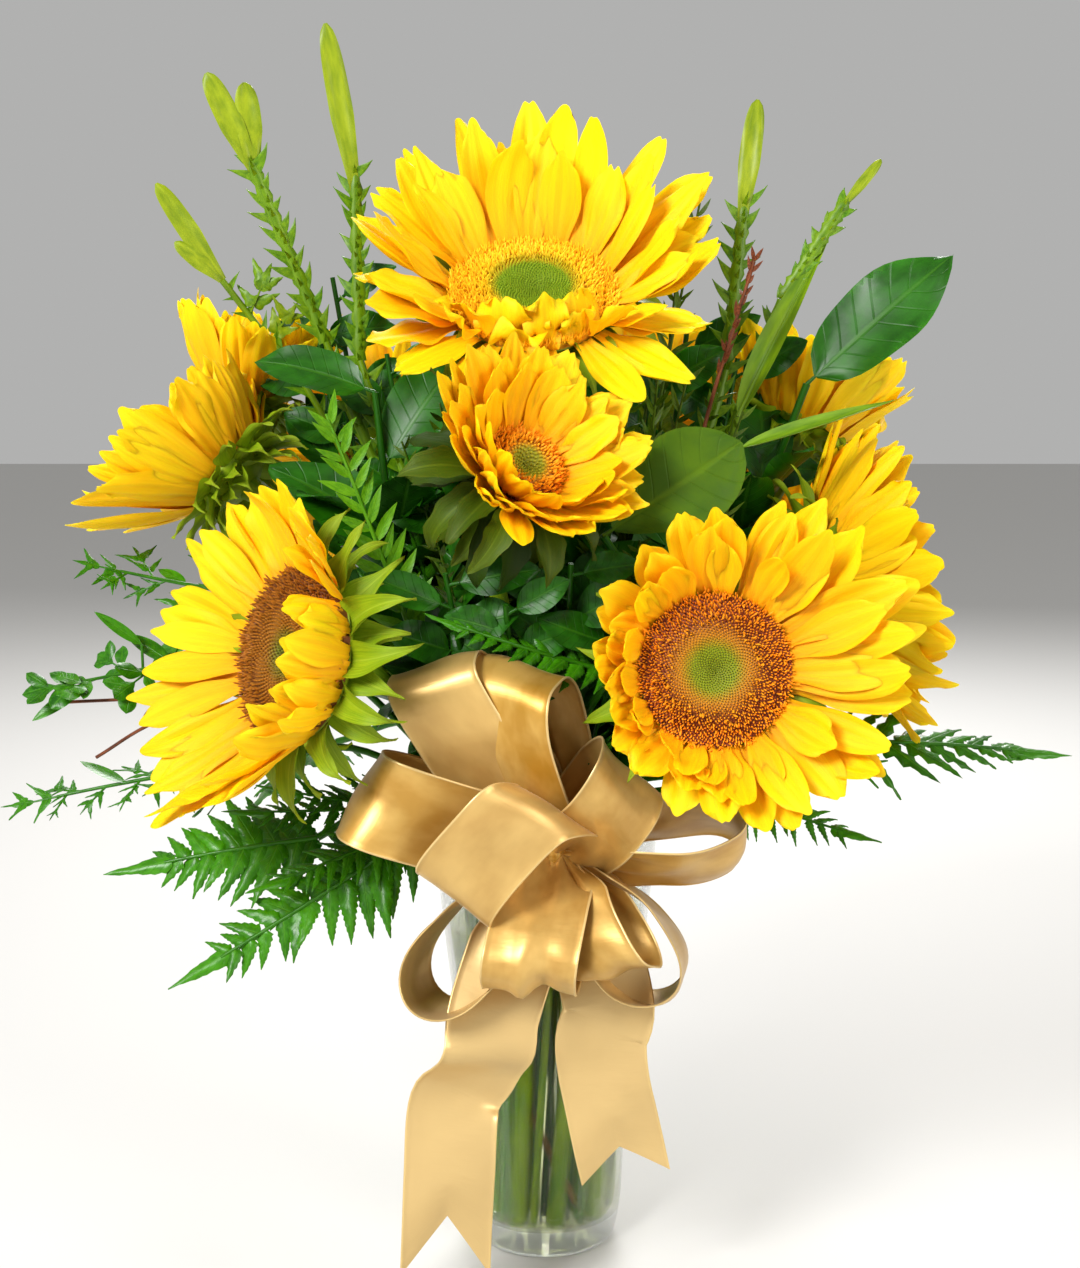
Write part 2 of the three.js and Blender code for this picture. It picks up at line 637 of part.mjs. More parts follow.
// A frond: a bare stalk, then one arched blade cut into leaflets that reach almost to its rib.
const FRONDS = {
  fern_lower_left: {
    slot: [238, 1], path: [[-38, -54, 214], [-60, -62, 201]],
    way: [-0.83, -0.15, -0.53], normal: [-0.1, -0.8, 0.55],
    length: 106, bend: 6, pairs: 8, wide: 27, colour: "fern",
  },
  fern_left: {
    slot: [207, 1], path: [[-66, -40, 214], [-100, -52, 200]],
    way: [-0.98, -0.1, -0.1], normal: [-0.1, -0.75, 0.6],
    length: 78, bend: -10, pairs: 6, wide: 20, colour: "fern",
  },
  fern_front: {
    slot: [272, 0.66], path: [[10, -52, 240], [24, -84, 278]],
    way: [-0.94, -0.2, 0.26], normal: [0, -0.6, 0.8],
    length: 68, bend: 8, pairs: 6, wide: 13, colour: "fern",
  },
  fern_right: {
    slot: [328, 1], path: [[78, -32, 226], [122, -32, 238]],
    way: [0.99, -0.02, 0.02], normal: [0.1, -0.6, 0.8],
    length: 98, bend: -10, pairs: 8, wide: 19, colour: "fern",
  },
  fern_back_left: {
    slot: [148, 1], path: [[-60, 62, 228], [-104, 84, 214]],
    way: [-0.6, 0.75, -0.3], normal: [-0.3, 0.4, 0.85],
    length: 86, bend: -22, pairs: 7, wide: 24, colour: "fern",
  },
  fern_back_right: {
    slot: [57, 1], path: [[46, 76, 232], [66, 118, 226]],
    way: [0.35, 0.85, -0.35], normal: [0, 0.4, 0.9],
    length: 80, bend: -22, pairs: 7, wide: 24, colour: "fern",
  },
  spray_left_low: {
    slot: [197, 1], path: [[-84, 0, 228], [-132, -12, 224]],
    way: [-0.97, -0.12, -0.1], normal: [0, -0.5, 0.85],
    length: 102, bend: -8, pairs: 8, wide: 15, colour: "fern",
  },
  spray_left_mid: {
    slot: [165, 1], path: [[-88, 12, 258], [-132, -2, 276]],
    way: [-0.95, -0.15, -0.24], normal: [0, -0.6, 0.8],
    length: 90, bend: 8, pairs: 7, wide: 15, colour: "fern",
  },
  spray_left_high: {
    slot: [165, 0.66], path: [[-80, 12, 284], [-134, 2, 298]],
    way: [-0.98, -0.04, 0.16], normal: [0.1, -0.7, 0.6],
    length: 72, bend: 6, pairs: 6, wide: 12, colour: "fern",
  },
  spike_upper_left: {
    slot: [223, 0.66], path: [[-50, 0, 320], [-72, 8, 372], [-82, 12, 404]],
    way: [-0.02, 0.05, 1], normal: [0.15, -1, 0],
    length: 148, bend: 6, pairs: 8, wide: 11, strap: 0.46, colour: "spike",
  },
  spike_far_left: {
    slot: [194, 0.66], path: [[-66, 10, 330], [-88, 12, 384], [-98, 12, 412]],
    way: [-0.38, 0, 0.92], normal: [0.15, -1, 0],
    length: 128, bend: 10, pairs: 9, wide: 11, strap: 0.32, colour: "spike",
  },
  spike_upper_right: {
    slot: [345, 0.66], path: [[52, 2, 320], [72, 4, 370], [80, 8, 400]],
    way: [0.1, 0.02, 1], normal: [-0.1, -1, 0],
    length: 120, bend: -4, pairs: 8, wide: 11, strap: 0.4, colour: "spike",
  },
  spike_far_right: {
    slot: [5, 0.66], path: [[58, 10, 312], [88, 3, 386], [104, -2, 430]],
    way: [0.55, 0.02, 0.84], normal: [-0.1, -1, 0.1],
    length: 74, bend: -8, pairs: 7, wide: 10, colour: "spike",
  },
  strap_leaf: {
    slot: [306, 0.66], path: [[50, -20, 300], [74, -18, 350], [84, -18, 380]],
    way: [0.44, 0.2, 0.9], normal: [-0.5, -0.85, 0.2],
    length: 88, bend: -6, pairs: 0, wide: 4.5, colour: "spike",
  },
  sprig_front_left: {
    slot: [247, 1], path: [[-38, -48, 240], [-54, -70, 288]],
    way: [-0.34, -0.02, 0.94], normal: [0.2, -1, 0.1],
    length: 102, bend: -10, pairs: 9, wide: 10, colour: "fern",
  },
};

function makeFrond(name, { slot, path, way, normal, length, bend, pairs, wide, strap, colour }) {
  const solids = [makeStem(name, slot, path.map(from), GREEN_STEM, 7 + path.length)];
  const root = from(path.at(-1)).addScaledVector(from(way).normalize(), -3);
  const plain = [[0, 1.5], [0.35, wide], [0.8, wide * 0.8], [1, 0]];
  const outline = pairs ? cutOutline({ pairs, wide, rib: 1.5, strap }) : plain;
  solids.push(...bendClear(name, (extra) => {
    const axis = new THREE.Vector3().crossVectors(from(way), from(normal)).normalize();
    const ahead = from(way).normalize().applyAxisAngle(axis, turn(extra));
    return blade({ root, way: ahead, normal: from(normal), length, bend, outline });
  }));
  addMesh(name, fuse(solids), MATERIALS[colour]);
}

// ---------------------------------------------------------------- the bouquet

makeVase();
makeBow();
makePick();
bloomNames.forEach((name) => makeDisc(`${name}_disc`, BLOOMS[name], frames[name]));
const cups = forEachBloom((name) => makeCup(`${name}_stem`, BLOOMS[name], frames[name]));
const rings = forEachBloom((name) => makeRing(`${name}_petals`, BLOOMS[name], frames[name]));
bloomNames.forEach((name, i) => {
  makePetals(`${name}_petals`, BLOOMS[name], frames[name], PETAL_SEED + i, rings[name]);
});
Object.entries(LEAF_STEMS).forEach(([name, stem]) => makeLeafStem(name, stem));
Object.entries(FRONDS).forEach(([name, frond]) => makeFrond(name, frond));
bloomNames.forEach((name, i) => {
  makeBracts(`${name}_stem`, BLOOMS[name], frames[name], BRACT_SEED + i, cups[name]);
  addMesh(`${name}_stem`, fuse(cups[name]), MATERIALS.calyx);
});
makeWater();

export default bouquet;
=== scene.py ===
"""Looks for the sunflowers in a clear glass vase, with mixed greens and a gold satin bow.

Lengths in the tables are in millimetres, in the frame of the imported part: +Z up, the front towards -Y.
"""

import functools
import math

import bpy
import numpy as np
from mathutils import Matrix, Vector


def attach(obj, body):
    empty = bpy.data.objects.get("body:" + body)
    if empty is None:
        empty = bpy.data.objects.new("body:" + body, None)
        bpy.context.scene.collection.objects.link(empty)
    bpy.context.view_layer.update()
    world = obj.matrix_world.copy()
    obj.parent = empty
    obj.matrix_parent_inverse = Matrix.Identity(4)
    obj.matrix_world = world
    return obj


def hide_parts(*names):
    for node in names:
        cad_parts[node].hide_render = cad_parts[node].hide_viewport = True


MM = 0.001
STEPS_BETWEEN = 12  # on a curve, between two of the points it goes through
SHARP = 62  # degrees between two faces whose edge is drawn sharp

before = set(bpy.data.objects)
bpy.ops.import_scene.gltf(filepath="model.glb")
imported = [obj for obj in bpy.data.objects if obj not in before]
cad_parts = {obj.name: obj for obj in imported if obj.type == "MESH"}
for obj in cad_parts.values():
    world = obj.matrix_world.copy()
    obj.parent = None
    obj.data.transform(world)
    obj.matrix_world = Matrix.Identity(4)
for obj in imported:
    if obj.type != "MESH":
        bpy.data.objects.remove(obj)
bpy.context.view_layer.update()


# ---------------------------------------------------------------- small maths


def unit(vector):
    vector = np.asarray(vector, float)
    return vector / np.linalg.norm(vector)


def units(rows):
    """Each row scaled to a length of 1."""
    return rows / np.linalg.norm(rows, axis=-1, keepdims=True)


def polar(angle, radius, height):
    return np.array([math.cos(angle) * radius, math.sin(angle) * radius, height])


def mix(low, high, share):
    return low + (high - low) * share


def frame_of(face):
    """The way a bloom faces, and up and side in the plane that it looks out of."""
    out = unit(face)
    lean = np.array([0, 1.0, 0]) if abs(out[2]) > 0.98 else np.array([0, 0, 1.0])
    up = unit(lean - lean @ out * out)
    return out, up, np.cross(up, out)


def turned(vector, axis, degrees):
    """vector turned about axis."""
    axis = unit(axis)
    vector = np.asarray(vector, float)
    c, s = math.cos(math.radians(degrees)), math.sin(math.radians(degrees))
    return vector * c + np.cross(axis, vector) * s + axis * (axis @ vector) * (1 - c)


def spaced(points, steps):
    """steps + 1 points, evenly spaced along a line of many points."""
    lengths = np.concatenate([[0], np.cumsum(np.linalg.norm(np.diff(points, axis=0), axis=1))])
    wanted = np.linspace(0, lengths[-1], steps + 1)
    return np.stack([np.interp(wanted, lengths, points[:, k]) for k in range(3)], 1)


def curve(points, steps):
    """steps + 1 points, evenly spaced on a smooth curve through the given ones."""
    points = np.asarray(points, float)
    ends = [2 * points[0] - points[1], *points, 2 * points[-1] - points[-2]]
    t = np.linspace(0, 1, STEPS_BETWEEN, endpoint=False)[:, None]
    dense = []
    for a, b, c, d in zip(ends, ends[1:], ends[2:], ends[3:]):
        square = a - 2.5 * b + 2 * c - d / 2
        cube = (3 * b - a - 3 * c + d) / 2
        dense.append(b + (c - a) / 2 * t + square * t**2 + cube * t**3)
    return spaced(np.concatenate([*dense, points[-1:]]), steps)


# ---------------------------------------------------------------- closed thin forms


class Solids:
    """Blades, tubes and beads that become one mesh.

    Each point has a mark, which is its place across and along its form and a draw, and a tint.
    """

    def __init__(self):
        self.points, self.quads, self.tris, self.marks, self.tints = [], [], [], [], []
        self.size = 0

    def add(self, points, quads, tris, marks, tint):
        points = np.asarray(points, float).reshape(-1, 3)
        if len(quads):
            self.quads.append(np.asarray(quads) + self.size)
        if len(tris):
            self.tris.append(np.asarray(tris) + self.size)
        self.points.append(points)
        self.marks.append(np.broadcast_to(marks, points.shape))
        self.tints.append(np.broadcast_to(tint, len(points)))
        self.size += len(points)


@functools.cache
def lens_faces(rows, cols):
    """Faces of a sheet whose two sides share their rim."""
    top = np.arange(rows * cols).reshape(rows, cols)
    low = top.copy()
    low[1:-1, 1:-1] = rows * cols + np.arange((rows - 2) * (cols - 2)).reshape(rows - 2, cols - 2)
    over, under = (
        np.stack([g[:-1, :-1], g[:-1, 1:], g[1:, 1:], g[1:, :-1]], -1).reshape(-1, 4) for g in (top, low)
    )
    return np.concatenate([over, under[:, ::-1]])


def lens(solids, grid, thick, marks, tint):
    """A closed sheet round a grid of points, thick in its middle and thin at its rim."""
    rows, cols = grid.shape[:2]
    normal = np.cross(np.gradient(grid, axis=1), np.gradient(grid, axis=0))
    normal /= np.maximum(np.linalg.norm(normal, axis=2, keepdims=True), 1e-9)
    half = np.zeros((rows, cols))
    half[1:-1, 1:-1] = (np.broadcast_to(thick, (rows, cols)) / 2)[1:-1, 1:-1]
    top = grid + normal * half[..., None]
    low = (grid - normal * half[..., None])[1:-1, 1:-1]
    points = np.concatenate([top.reshape(-1, 3), low.reshape(-1, 3)])
    marks = np.concatenate([marks.reshape(-1, 3), marks[1:-1, 1:-1].reshape(-1, 3)])
    solids.add(points, lens_faces(rows, cols), [], marks, tint)


def smooth(value):
    value = np.clip(value, 0, 1)
    return value * value * (3 - 2 * value)


def petal_outline(v, blunt=2.0):
    """Half width along a petal: narrow at its foot, widest past the middle, rounder the more blunt."""
    return mix(0.5, 1, smooth(v / 0.5)) * mix(1, 0.4, np.clip((v - 0.5) / 0.5, 0, 1) ** blunt)


def oval_outline(v):
    return np.maximum(np.sin(np.pi * v**0.85) ** 0.72, 0.03)


def spoon_outline(v):
    return np.maximum(np.sin(np.pi * v**1.25) ** 0.62, 0.04)


def bract_outline(v):
    return np.maximum(0.75 * (1 - v) ** 0.9 + 0.8 * np.sin(np.pi * v**0.6) * (1 - v) ** 1.2, 0.02)


def leafy_outline(v):
    """A broad bract with a coarsely toothed edge."""
    return oval_outline(v) * (1 - 0.22 * np.abs(np.sin(v * 4 * np.pi)) ** 0.7)


def lance_outline(v):
    return np.maximum(np.sin(np.pi * v**0.7) ** 0.9, 0.04)


def thorn_outline(v):
    return np.maximum((1 - v) ** 1.6 + 0.22 * np.sin(np.pi * v), 0.04)


def strap_outline(v):
    return mix(0.45, 1, np.minimum(1, v * 2.2)) * np.maximum(1 - v**7, 0.02) ** 0.5


def fern_outline(v, teeth=11, depth=0.15, blunt=0.85):
    """A fern leaflet: a broad foot, evenly tapered, with fine teeth that point ahead."""
    body = np.minimum(1, 0.5 + 5 * v) * (1 - v) ** blunt
    return np.maximum(body * (1 - depth + depth * ((v * teeth) % 1)), 0.03)


def blade(
    solids, root, way, face, length, half, outline=oval_outline, rows=9, cols=5, bend=(0, 0), sway=0,
    twist=0, cup=0.0, ridge=0.0, folds=2, ripple=0.0, waves=2.5, pull=(0, 0), thick=0.5, tint=0.0, mark=0.0,
):
    """A blade from root along way, its upper side towards face.

    bend is its curl towards that side in degrees: in step with the length, and with the square of it. cup,
    ridge and ripple are shares of its half width, and so is pull, how far its end is drawn back: at the two
    edges, and in a notch at its middle.
    """
    ahead = unit(way)
    face = unit(face - face @ ahead * ahead)
    side = np.cross(ahead, face)
    v = np.linspace(0, 1, rows)
    u = np.linspace(-1, 1, cols)
    pitch = np.radians(bend[0] * v + bend[1] * v * v)[:, None]
    yaw = np.radians(sway * v)[:, None]
    heading = np.cos(yaw) * (np.cos(pitch) * ahead + np.sin(pitch) * face) + np.sin(yaw) * side
    normal = np.cos(pitch) * face - np.sin(pitch) * ahead
    across = np.cross(heading, normal)
    roll = np.radians(twist * v)[:, None]
    rolled = np.cos(roll) * across + np.sin(roll) * normal
    normal = np.cos(roll) * normal - np.sin(roll) * across
    across = rolled
    middles = (heading[1:] + heading[:-1]) / 2 * length / (rows - 1)
    centre = root + np.concatenate([np.zeros((1, 3)), np.cumsum(middles, axis=0)])
    width = (half * outline(v))[:, None]
    fade = np.minimum(1, 4 * (1.04 - v))[:, None]
    lift = width * fade * (cup * u**2 + ridge * np.cos(folds * np.pi * u + 9 * mark))
    lift = lift + half * ripple * u**2 * np.sin(2 * np.pi * (waves * v[:, None] + mark + 0.25 * u))
    grid = centre[:, None] + across[:, None] * (u * width)[..., None] + normal[:, None] * lift[..., None]
    drawn = half * (pull[0] * u**2 + pull[1] * np.exp(-((u / 0.32) ** 2)))
    back = drawn * np.clip(v * 3.4 - 2.4, 0, 1)[:, None] ** 2
    grid = grid - heading[:, None] * back[..., None]
    marks = np.stack(np.broadcast_arrays(u[None, :], v[:, None], mark), -1)
    lens(solids, grid, thick, marks, tint)


def skin(solids, rings, ends, tint, mark):
    """Closes rings of points into one solid, with a point at either end."""
    count, sides = rings.shape[:2]
    index = np.arange(count * sides).reshape(count, sides)
    shifted = np.roll(index, -1, axis=1)
    quads = np.stack([index[:-1], shifted[:-1], shifted[1:], index[1:]], -1).reshape(-1, 4)
    last = count * sides
    low = np.stack([np.full(sides, last), shifted[0], index[0]], -1)
    top = np.stack([np.full(sides, last + 1), index[-1], shifted[-1]], -1)
    around = np.tile(np.linspace(0, 2 * np.pi, sides, endpoint=False) / np.pi - 1, count)
    along = np.repeat(np.linspace(0, 1, count), sides)
    marks = np.stack([around, along, np.full(count * sides, mark)], -1)
    marks = np.concatenate([marks, [[0, 0, mark], [0, 1, mark]]])
    points = np.concatenate([rings.reshape(-1, 3), ends])
    solids.add(points, quads, np.concatenate([low, top]), marks, tint)


def tube(solids, path, radius, sides=8, tint=0.0, mark=0.0):
    """A closed tube along path."""
    path = np.asarray(path, float)
    radius = np.broadcast_to(radius, len(path))
    heading = units(np.gradient(path, axis=0))
    first = np.cross(heading[0], [0.31, 0.95, 0.1])
    angles = np.linspace(0, 2 * np.pi, sides, endpoint=False)
    rings = np.zeros((len(path), sides, 3))
    for i, middle in enumerate(path):
        first = unit(first - first @ heading[i] * heading[i])
        ring = np.cos(angles)[:, None] * first + np.sin(angles)[:, None] * np.cross(heading[i], first)
        rings[i] = middle + ring * radius[i]
    skin(solids, rings, path[[0, -1]], tint, mark)


def lathe(solids, profile, sides, at=(0, 0, 0), axes=None):
    """A turned solid. profile lists (radius, height) and starts and ends on the axis."""
    out, up, side = axes or (np.array([0, 0, 1.0]), np.array([1.0, 0, 0]), np.array([0, 1.0, 0]))
    profile = np.asarray(profile, float)
    angles = np.linspace(0, 2 * np.pi, sides, endpoint=False)
    ring = np.cos(angles)[:, None] * up + np.sin(angles)[:, None] * side
    body = profile[1:-1]
    rings = np.asarray(at) + body[:, 0, None, None] * ring + body[:, 1, None, None] * out
    ends = np.asarray(at) + profile[[0, -1], 1, None] * out
    skin(solids, rings, ends, 0.0, 0.0)


SHOULDER = 0.62  # how far up a bud its upper ring is


def beads(solids, base, way, radius, height, sides, tints, draws, waist=1.0):
    """Many small closed buds at once, each a ring at its foot, one higher up and a point at either end."""
    count = len(base)
    way = units(way)
    first = units(np.cross(way, [0.41, 0.33, 0.85]))
    second = np.cross(way, first)
    angles = np.linspace(0, 2 * np.pi, sides, endpoint=False)
    ring = np.cos(angles)[None, :, None] * first[:, None] + np.sin(angles)[None, :, None] * second[:, None]
    radius = np.broadcast_to(radius, count)[:, None, None]
    height = np.broadcast_to(height, count)[:, None]
    foot = base[:, None] + ring * radius
    high = base[:, None] + ring * radius * waist + (way * height * SHOULDER)[:, None]
    ends = np.stack([base - way * height * 0.4, base + way * height], 1)
    points = np.concatenate([foot, high, ends], 1)
    k = np.arange(sides)
    n = (k + 1) % sides
    quads = np.stack([k, n, n + sides, k + sides], -1)
    low = np.stack([np.full(sides, 2 * sides), n, k], -1)
    top = np.stack([np.full(sides, 2 * sides + 1), k + sides, n + sides], -1)
    step = np.arange(count)[:, None, None] * (2 * sides + 2)
    along = np.concatenate([np.zeros(sides), np.full(sides, SHOULDER), [0, 1]])
    marks = np.stack(np.broadcast_arrays(0.0, along[None, :], draws[:, None]), -1)
    tint = np.repeat(tints, 2 * sides + 2)
    quads = (quads[None] + step).reshape(-1, 4)
    tris = (np.concatenate([low, top])[None] + step).reshape(-1, 3)
    solids.add(points.reshape(-1, 3), quads, tris, marks.reshape(-1, 3), tint)


def piece(name, solids, material, slot, *nodes):
    """The object made of solids, riding on the one body, in the place of the CAD nodes named."""
    mesh = bpy.data.meshes.new(name)
    faces = [face for group in solids.quads + solids.tris for face in group.tolist()]
    mesh.from_pydata(np.concatenate(solids.points) * MM, [], faces)
    marks = mesh.attributes.new("mark", "FLOAT_VECTOR", "POINT")
    marks.data.foreach_set("vector", np.concatenate(solids.marks).astype(np.float32).ravel())
    tints = mesh.attributes.new("tint", "FLOAT", "POINT")
    tints.data.foreach_set("value", np.concatenate(solids.tints).astype(np.float32))
    mesh.shade_smooth()
    mesh.set_sharp_from_angle(angle=math.radians(SHARP))
    mesh.materials.append(material)
    made = bpy.data.objects.new(name, mesh)
    bpy.context.scene.collection.objects.link(made)
    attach(made, "root")
    if nodes:
        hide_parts(*nodes)
    return made


# ---------------------------------------------------------------- materials


class Paint:
    """One material: its shader's own sockets are set by name, and its nodes are added by the calls below."""

    def __init__(self, name, **sockets):
        self.material = bpy.data.materials.new(name)
        self.material.use_nodes = True
        self.tree = self.material.node_tree
        self.shader = self.tree.nodes["Principled BSDF"]
        for socket, value in sockets.items():
            self.shader.inputs[socket.replace("_", " ")].default_value = value

    def node(self, kind, inputs=(), output=0, **settings):
        made = self.tree.nodes.new("ShaderNode" + kind)
        for setting, value in settings.items():
            setattr(made, setting, value)
        for socket, value in dict(inputs).items():
            self.join(value, made.inputs[socket])
        return made.outputs[output]

    def join(self, value, socket):
        if isinstance(value, bpy.types.NodeSocket):
            self.tree.links.new(value, socket)
        else:
            socket.default_value = value

    def sum(self, operation, a, b=0.0):
        return self.node("Math", {0: a, 1: b, 2: 0.0}, operation=operation)

    def plus(self, a, b):
        return self.sum("ADD", a, b)

    def times(self, a, b):
        return self.sum("MULTIPLY", a, b)

    def mark(self):
        found = self.node("Attribute", output=1, attribute_name="mark")
        parts = self.tree.nodes.new("ShaderNodeSeparateXYZ")
        self.join(found, parts.inputs[0])
        return parts.outputs[0], parts.outputs[1], parts.outputs[2]

    def tint(self):
        return self.node("Attribute", output=2, attribute_name="tint")

    def place(self, x, y, z):
        return self.node("CombineXYZ", {0: x, 1: y, 2: z})

    def noise(self, marks, stretch, scale, detail=2.0):
        """Noise over the marks, each of them stretched by its share."""
        parts = [mark if by == 1 else self.times(mark, by) for mark, by in zip(marks, stretch)]
        return self.node("TexNoise", {"Vector": self.place(*parts), "Scale": scale, "Detail": detail})

    def shade(self, colour, share):
        grey = self.node("CombineColor", {0: share, 1: share, 2: share})
        return self.blend(1.0, colour, grey, "MULTIPLY")

    def ramp(self, value, *stops):
        made = self.tree.nodes.new("ShaderNodeValToRGB")
        ramp = made.color_ramp
        while len(ramp.elements) < len(stops):
            ramp.elements.new(0.5)
        for element, (place, colour) in zip(ramp.elements, stops):
            element.position = place
            element.color = (*colour, 1) if len(colour) == 3 else colour
        self.join(value, made.inputs[0])
        return made.outputs[0]

    def level(self, value, low, high, start=0.0, end=1.0):
        """value moved from the range low to high into start to end, and held there."""
        inputs = {"Value": value, "From Min": low, "From Max": high, "To Min": start, "To Max": end}
        return self.node("MapRange", inputs)

    def blend(self, share, a, b, kind="MIX"):
        made = self.tree.nodes.new("ShaderNodeMix")
        made.data_type = "RGBA"
        made.blend_type = kind
        for socket, value in ((0, share), (6, a), (7, b)):
            if not isinstance(value, bpy.types.NodeSocket) and socket:
                value = (*value, 1)
            self.join(value, made.inputs[socket])
        return made.outputs[2]

    def finish(self, colour=None, roughness=None, height=None, bump=0.4, deep=0.0004):
        if colour is not None:
            self.join(colour, self.shader.inputs["Base Color"])
        if roughness is not None:
            self.join(roughness, self.shader.inputs["Roughness"])
        if height is not None:
            inputs = {"Height": height, "Strength": bump, "Distance": deep}
            self.join(self.node("Bump", inputs), self.shader.inputs["Normal"])
        return self.material


def petal_paint():
    """Yellow, orange at the foot, with fine lengthwise veins. tint goes from orange to lemon."""
    paint = Paint(
        "petal", Roughness=0.6, Subsurface_Weight=0.5, Subsurface_Scale=0.003, Specular_IOR_Level=0.2,
        Subsurface_Radius=(1.0, 0.6, 0.1),
    )
    marks = _, along, _ = paint.mark()
    warm = paint.ramp(
        along, (0.0, (0.86, 0.29, 0.0)), (0.25, (0.94, 0.39, 0.0)), (0.6, (0.98, 0.47, 0.0)),
        (1.0, (1.0, 0.54, 0.0)),
    )
    lemon = paint.ramp(
        along, (0.0, (0.88, 0.38, 0.0)), (0.3, (0.97, 0.52, 0.0)), (0.65, (1.0, 0.61, 0.0)),
        (1.0, (1.0, 0.67, 0.002)),
    )
    streaks = paint.level(paint.noise(marks, (3.5, 1, 40), 1.6), 0.35, 0.65, -0.25, 0.25)
    colour = paint.blend(paint.level(paint.plus(paint.tint(), streaks), 0, 1), warm, lemon)
    veins = paint.noise(marks, (20, 1, 17), 1.6)
    colour = paint.shade(colour, paint.level(veins, 0.3, 0.55, 0.93, 1.0))
    return paint.finish(colour, height=veins, bump=0.3)


def disc_paint(name, middle, inner, outer, dots, dot=(0.2, 0.035, 0.002), green=0.34, shade=0.62):
    """Florets: a green middle, a smooth inner ring of buds and an outer ring with dark anthers among them.
    Each bud is painted darker towards its foot and a little brighter at its tip, by shade: painted shade in
    the gaps between them.
    """
    paint = Paint(name, Roughness=0.7, Subsurface_Weight=0.04, Subsurface_Scale=0.001)
    _, along, draw = paint.mark()
    bright = tuple(1.2 * part for part in middle)
    ring = paint.ramp(
        paint.tint(), (0.0, middle), (green, bright), (green + 0.16, inner), (0.8, outer), (1.0, outer)
    )
    # painted shade: darker towards each bud's foot, down to shade, a little brighter at its tip
    shaded = paint.shade(ring, paint.level(along, 0.0, 0.9, shade, 1.1))
    ripe = paint.level(paint.tint(), 0.42, 0.62)
    chosen = paint.sum("LESS_THAN", draw, dots)
    return paint.finish(paint.blend(paint.times(ripe, chosen), shaded, dot))


def leaf_paint(name, dark, light, rib, roughness=0.33, coat=0.25, vein=0.12):
    """A leaf with a rib and slanting side veins, mottled from dark to light."""
    paint = Paint(
        name, Coat_Weight=coat, Coat_Roughness=0.25, Subsurface_Weight=0.06, Subsurface_Scale=0.002,
        Subsurface_Radius=(0.4, 1.0, 0.2), Specular_IOR_Level=0.2,
    )
    marks = across, along, _ = paint.mark()
    off = paint.sum("ABSOLUTE", across)
    slant = paint.times(paint.sum("SUBTRACT", along, paint.times(off, 0.16)), 8.0)
    line = paint.sum("ABSOLUTE", paint.sum("SUBTRACT", paint.sum("FRACT", slant), 0.5))
    veins = paint.level(line, 0.0, 0.07, 1.0, 0.0)
    middle = paint.level(off, 0.03, 0.09, 1.0, 0.0)
    mottle = paint.noise(marks, (1, 3, 30), 1.7, 4)
    share = paint.plus(paint.level(mottle, 0.35, 0.7), paint.times(paint.tint(), 0.8))
    colour = paint.blend(paint.level(share, 0, 1.4), dark, light)
    colour = paint.blend(paint.times(veins, vein), colour, rib)
    colour = paint.blend(paint.times(middle, 0.5), colour, rib)
    height = paint.sum("SUBTRACT", mottle, paint.sum("MAXIMUM", middle, veins))
    shine = paint.level(mottle, 0.3, 0.7, roughness - 0.06, roughness + 0.1)
    return paint.finish(colour, shine, height, bump=0.5)


def stem_paint(name, dark, light):
    """A stem with fine ribs along it."""
    paint = Paint(
        name, Roughness=0.5, Subsurface_Weight=0.05, Subsurface_Scale=0.002, Specular_IOR_Level=0.3
    )
    marks = paint.mark()
    ribs = paint.noise(marks, (9, 4, 1), 2.0, 3)
    blotch = paint.noise(marks, (1, 9, 9), 1.1)
    share = paint.plus(paint.level(blotch, 0.3, 0.7), paint.level(ribs, 0.3, 0.7, -0.25, 0.25))
    colour = paint.blend(paint.level(share, 0, 1), dark, light)
    return paint.finish(colour, height=ribs, bump=0.5, deep=0.0006)


def bract_paint():
    """Light green, paler at the foot and along the rib. tint makes it dark and plain."""
    paint = Paint(
        "calyx", Roughness=0.55, Subsurface_Weight=0.06, Subsurface_Scale=0.002, Specular_IOR_Level=0.2
    )
    marks = across, along, _ = paint.mark()
    veins = paint.noise(marks, (7, 1, 20), 2.0)
    stops = (0.0, (0.2, 0.3, 0.003)), (0.5, (0.14, 0.24, 0.002)), (1.0, (0.2, 0.26, 0.006))
    colour = paint.ramp(along, *stops)
    colour = paint.blend(paint.level(veins, 0.35, 0.65, 0, 0.7), colour, (0.26, 0.36, 0.006))
    colour = paint.blend(paint.tint(), colour, (0.012, 0.034, 0.0))
    plain = paint.sum("SUBTRACT", 1.0, paint.tint())
    rib = paint.times(paint.level(paint.sum("ABSOLUTE", across), 0.02, 0.12, 0.5, 0.0), plain)
    return paint.finish(paint.blend(rib, colour, (0.3, 0.4, 0.02)), height=veins, bump=0.5)


def spike_paint():
    """Green teeth; the smooth tip, where tint is 1, is pale olive."""
    paint = Paint("spike", Roughness=0.42, Coat_Weight=0.06, Coat_Roughness=0.3, Specular_IOR_Level=0.25)
    mottle = paint.noise(paint.mark(), (1, 3, 25), 1.6, 3)
    share = paint.level(mottle, 0.3, 0.7)
    green = paint.blend(share, (0.03, 0.12, 0.0), (0.12, 0.27, 0.001))
    olive = paint.blend(share, (0.13, 0.2, 0.0), (0.26, 0.33, 0.004))
    return paint.finish(paint.blend(paint.tint(), green, olive), height=mottle, bump=0.2)


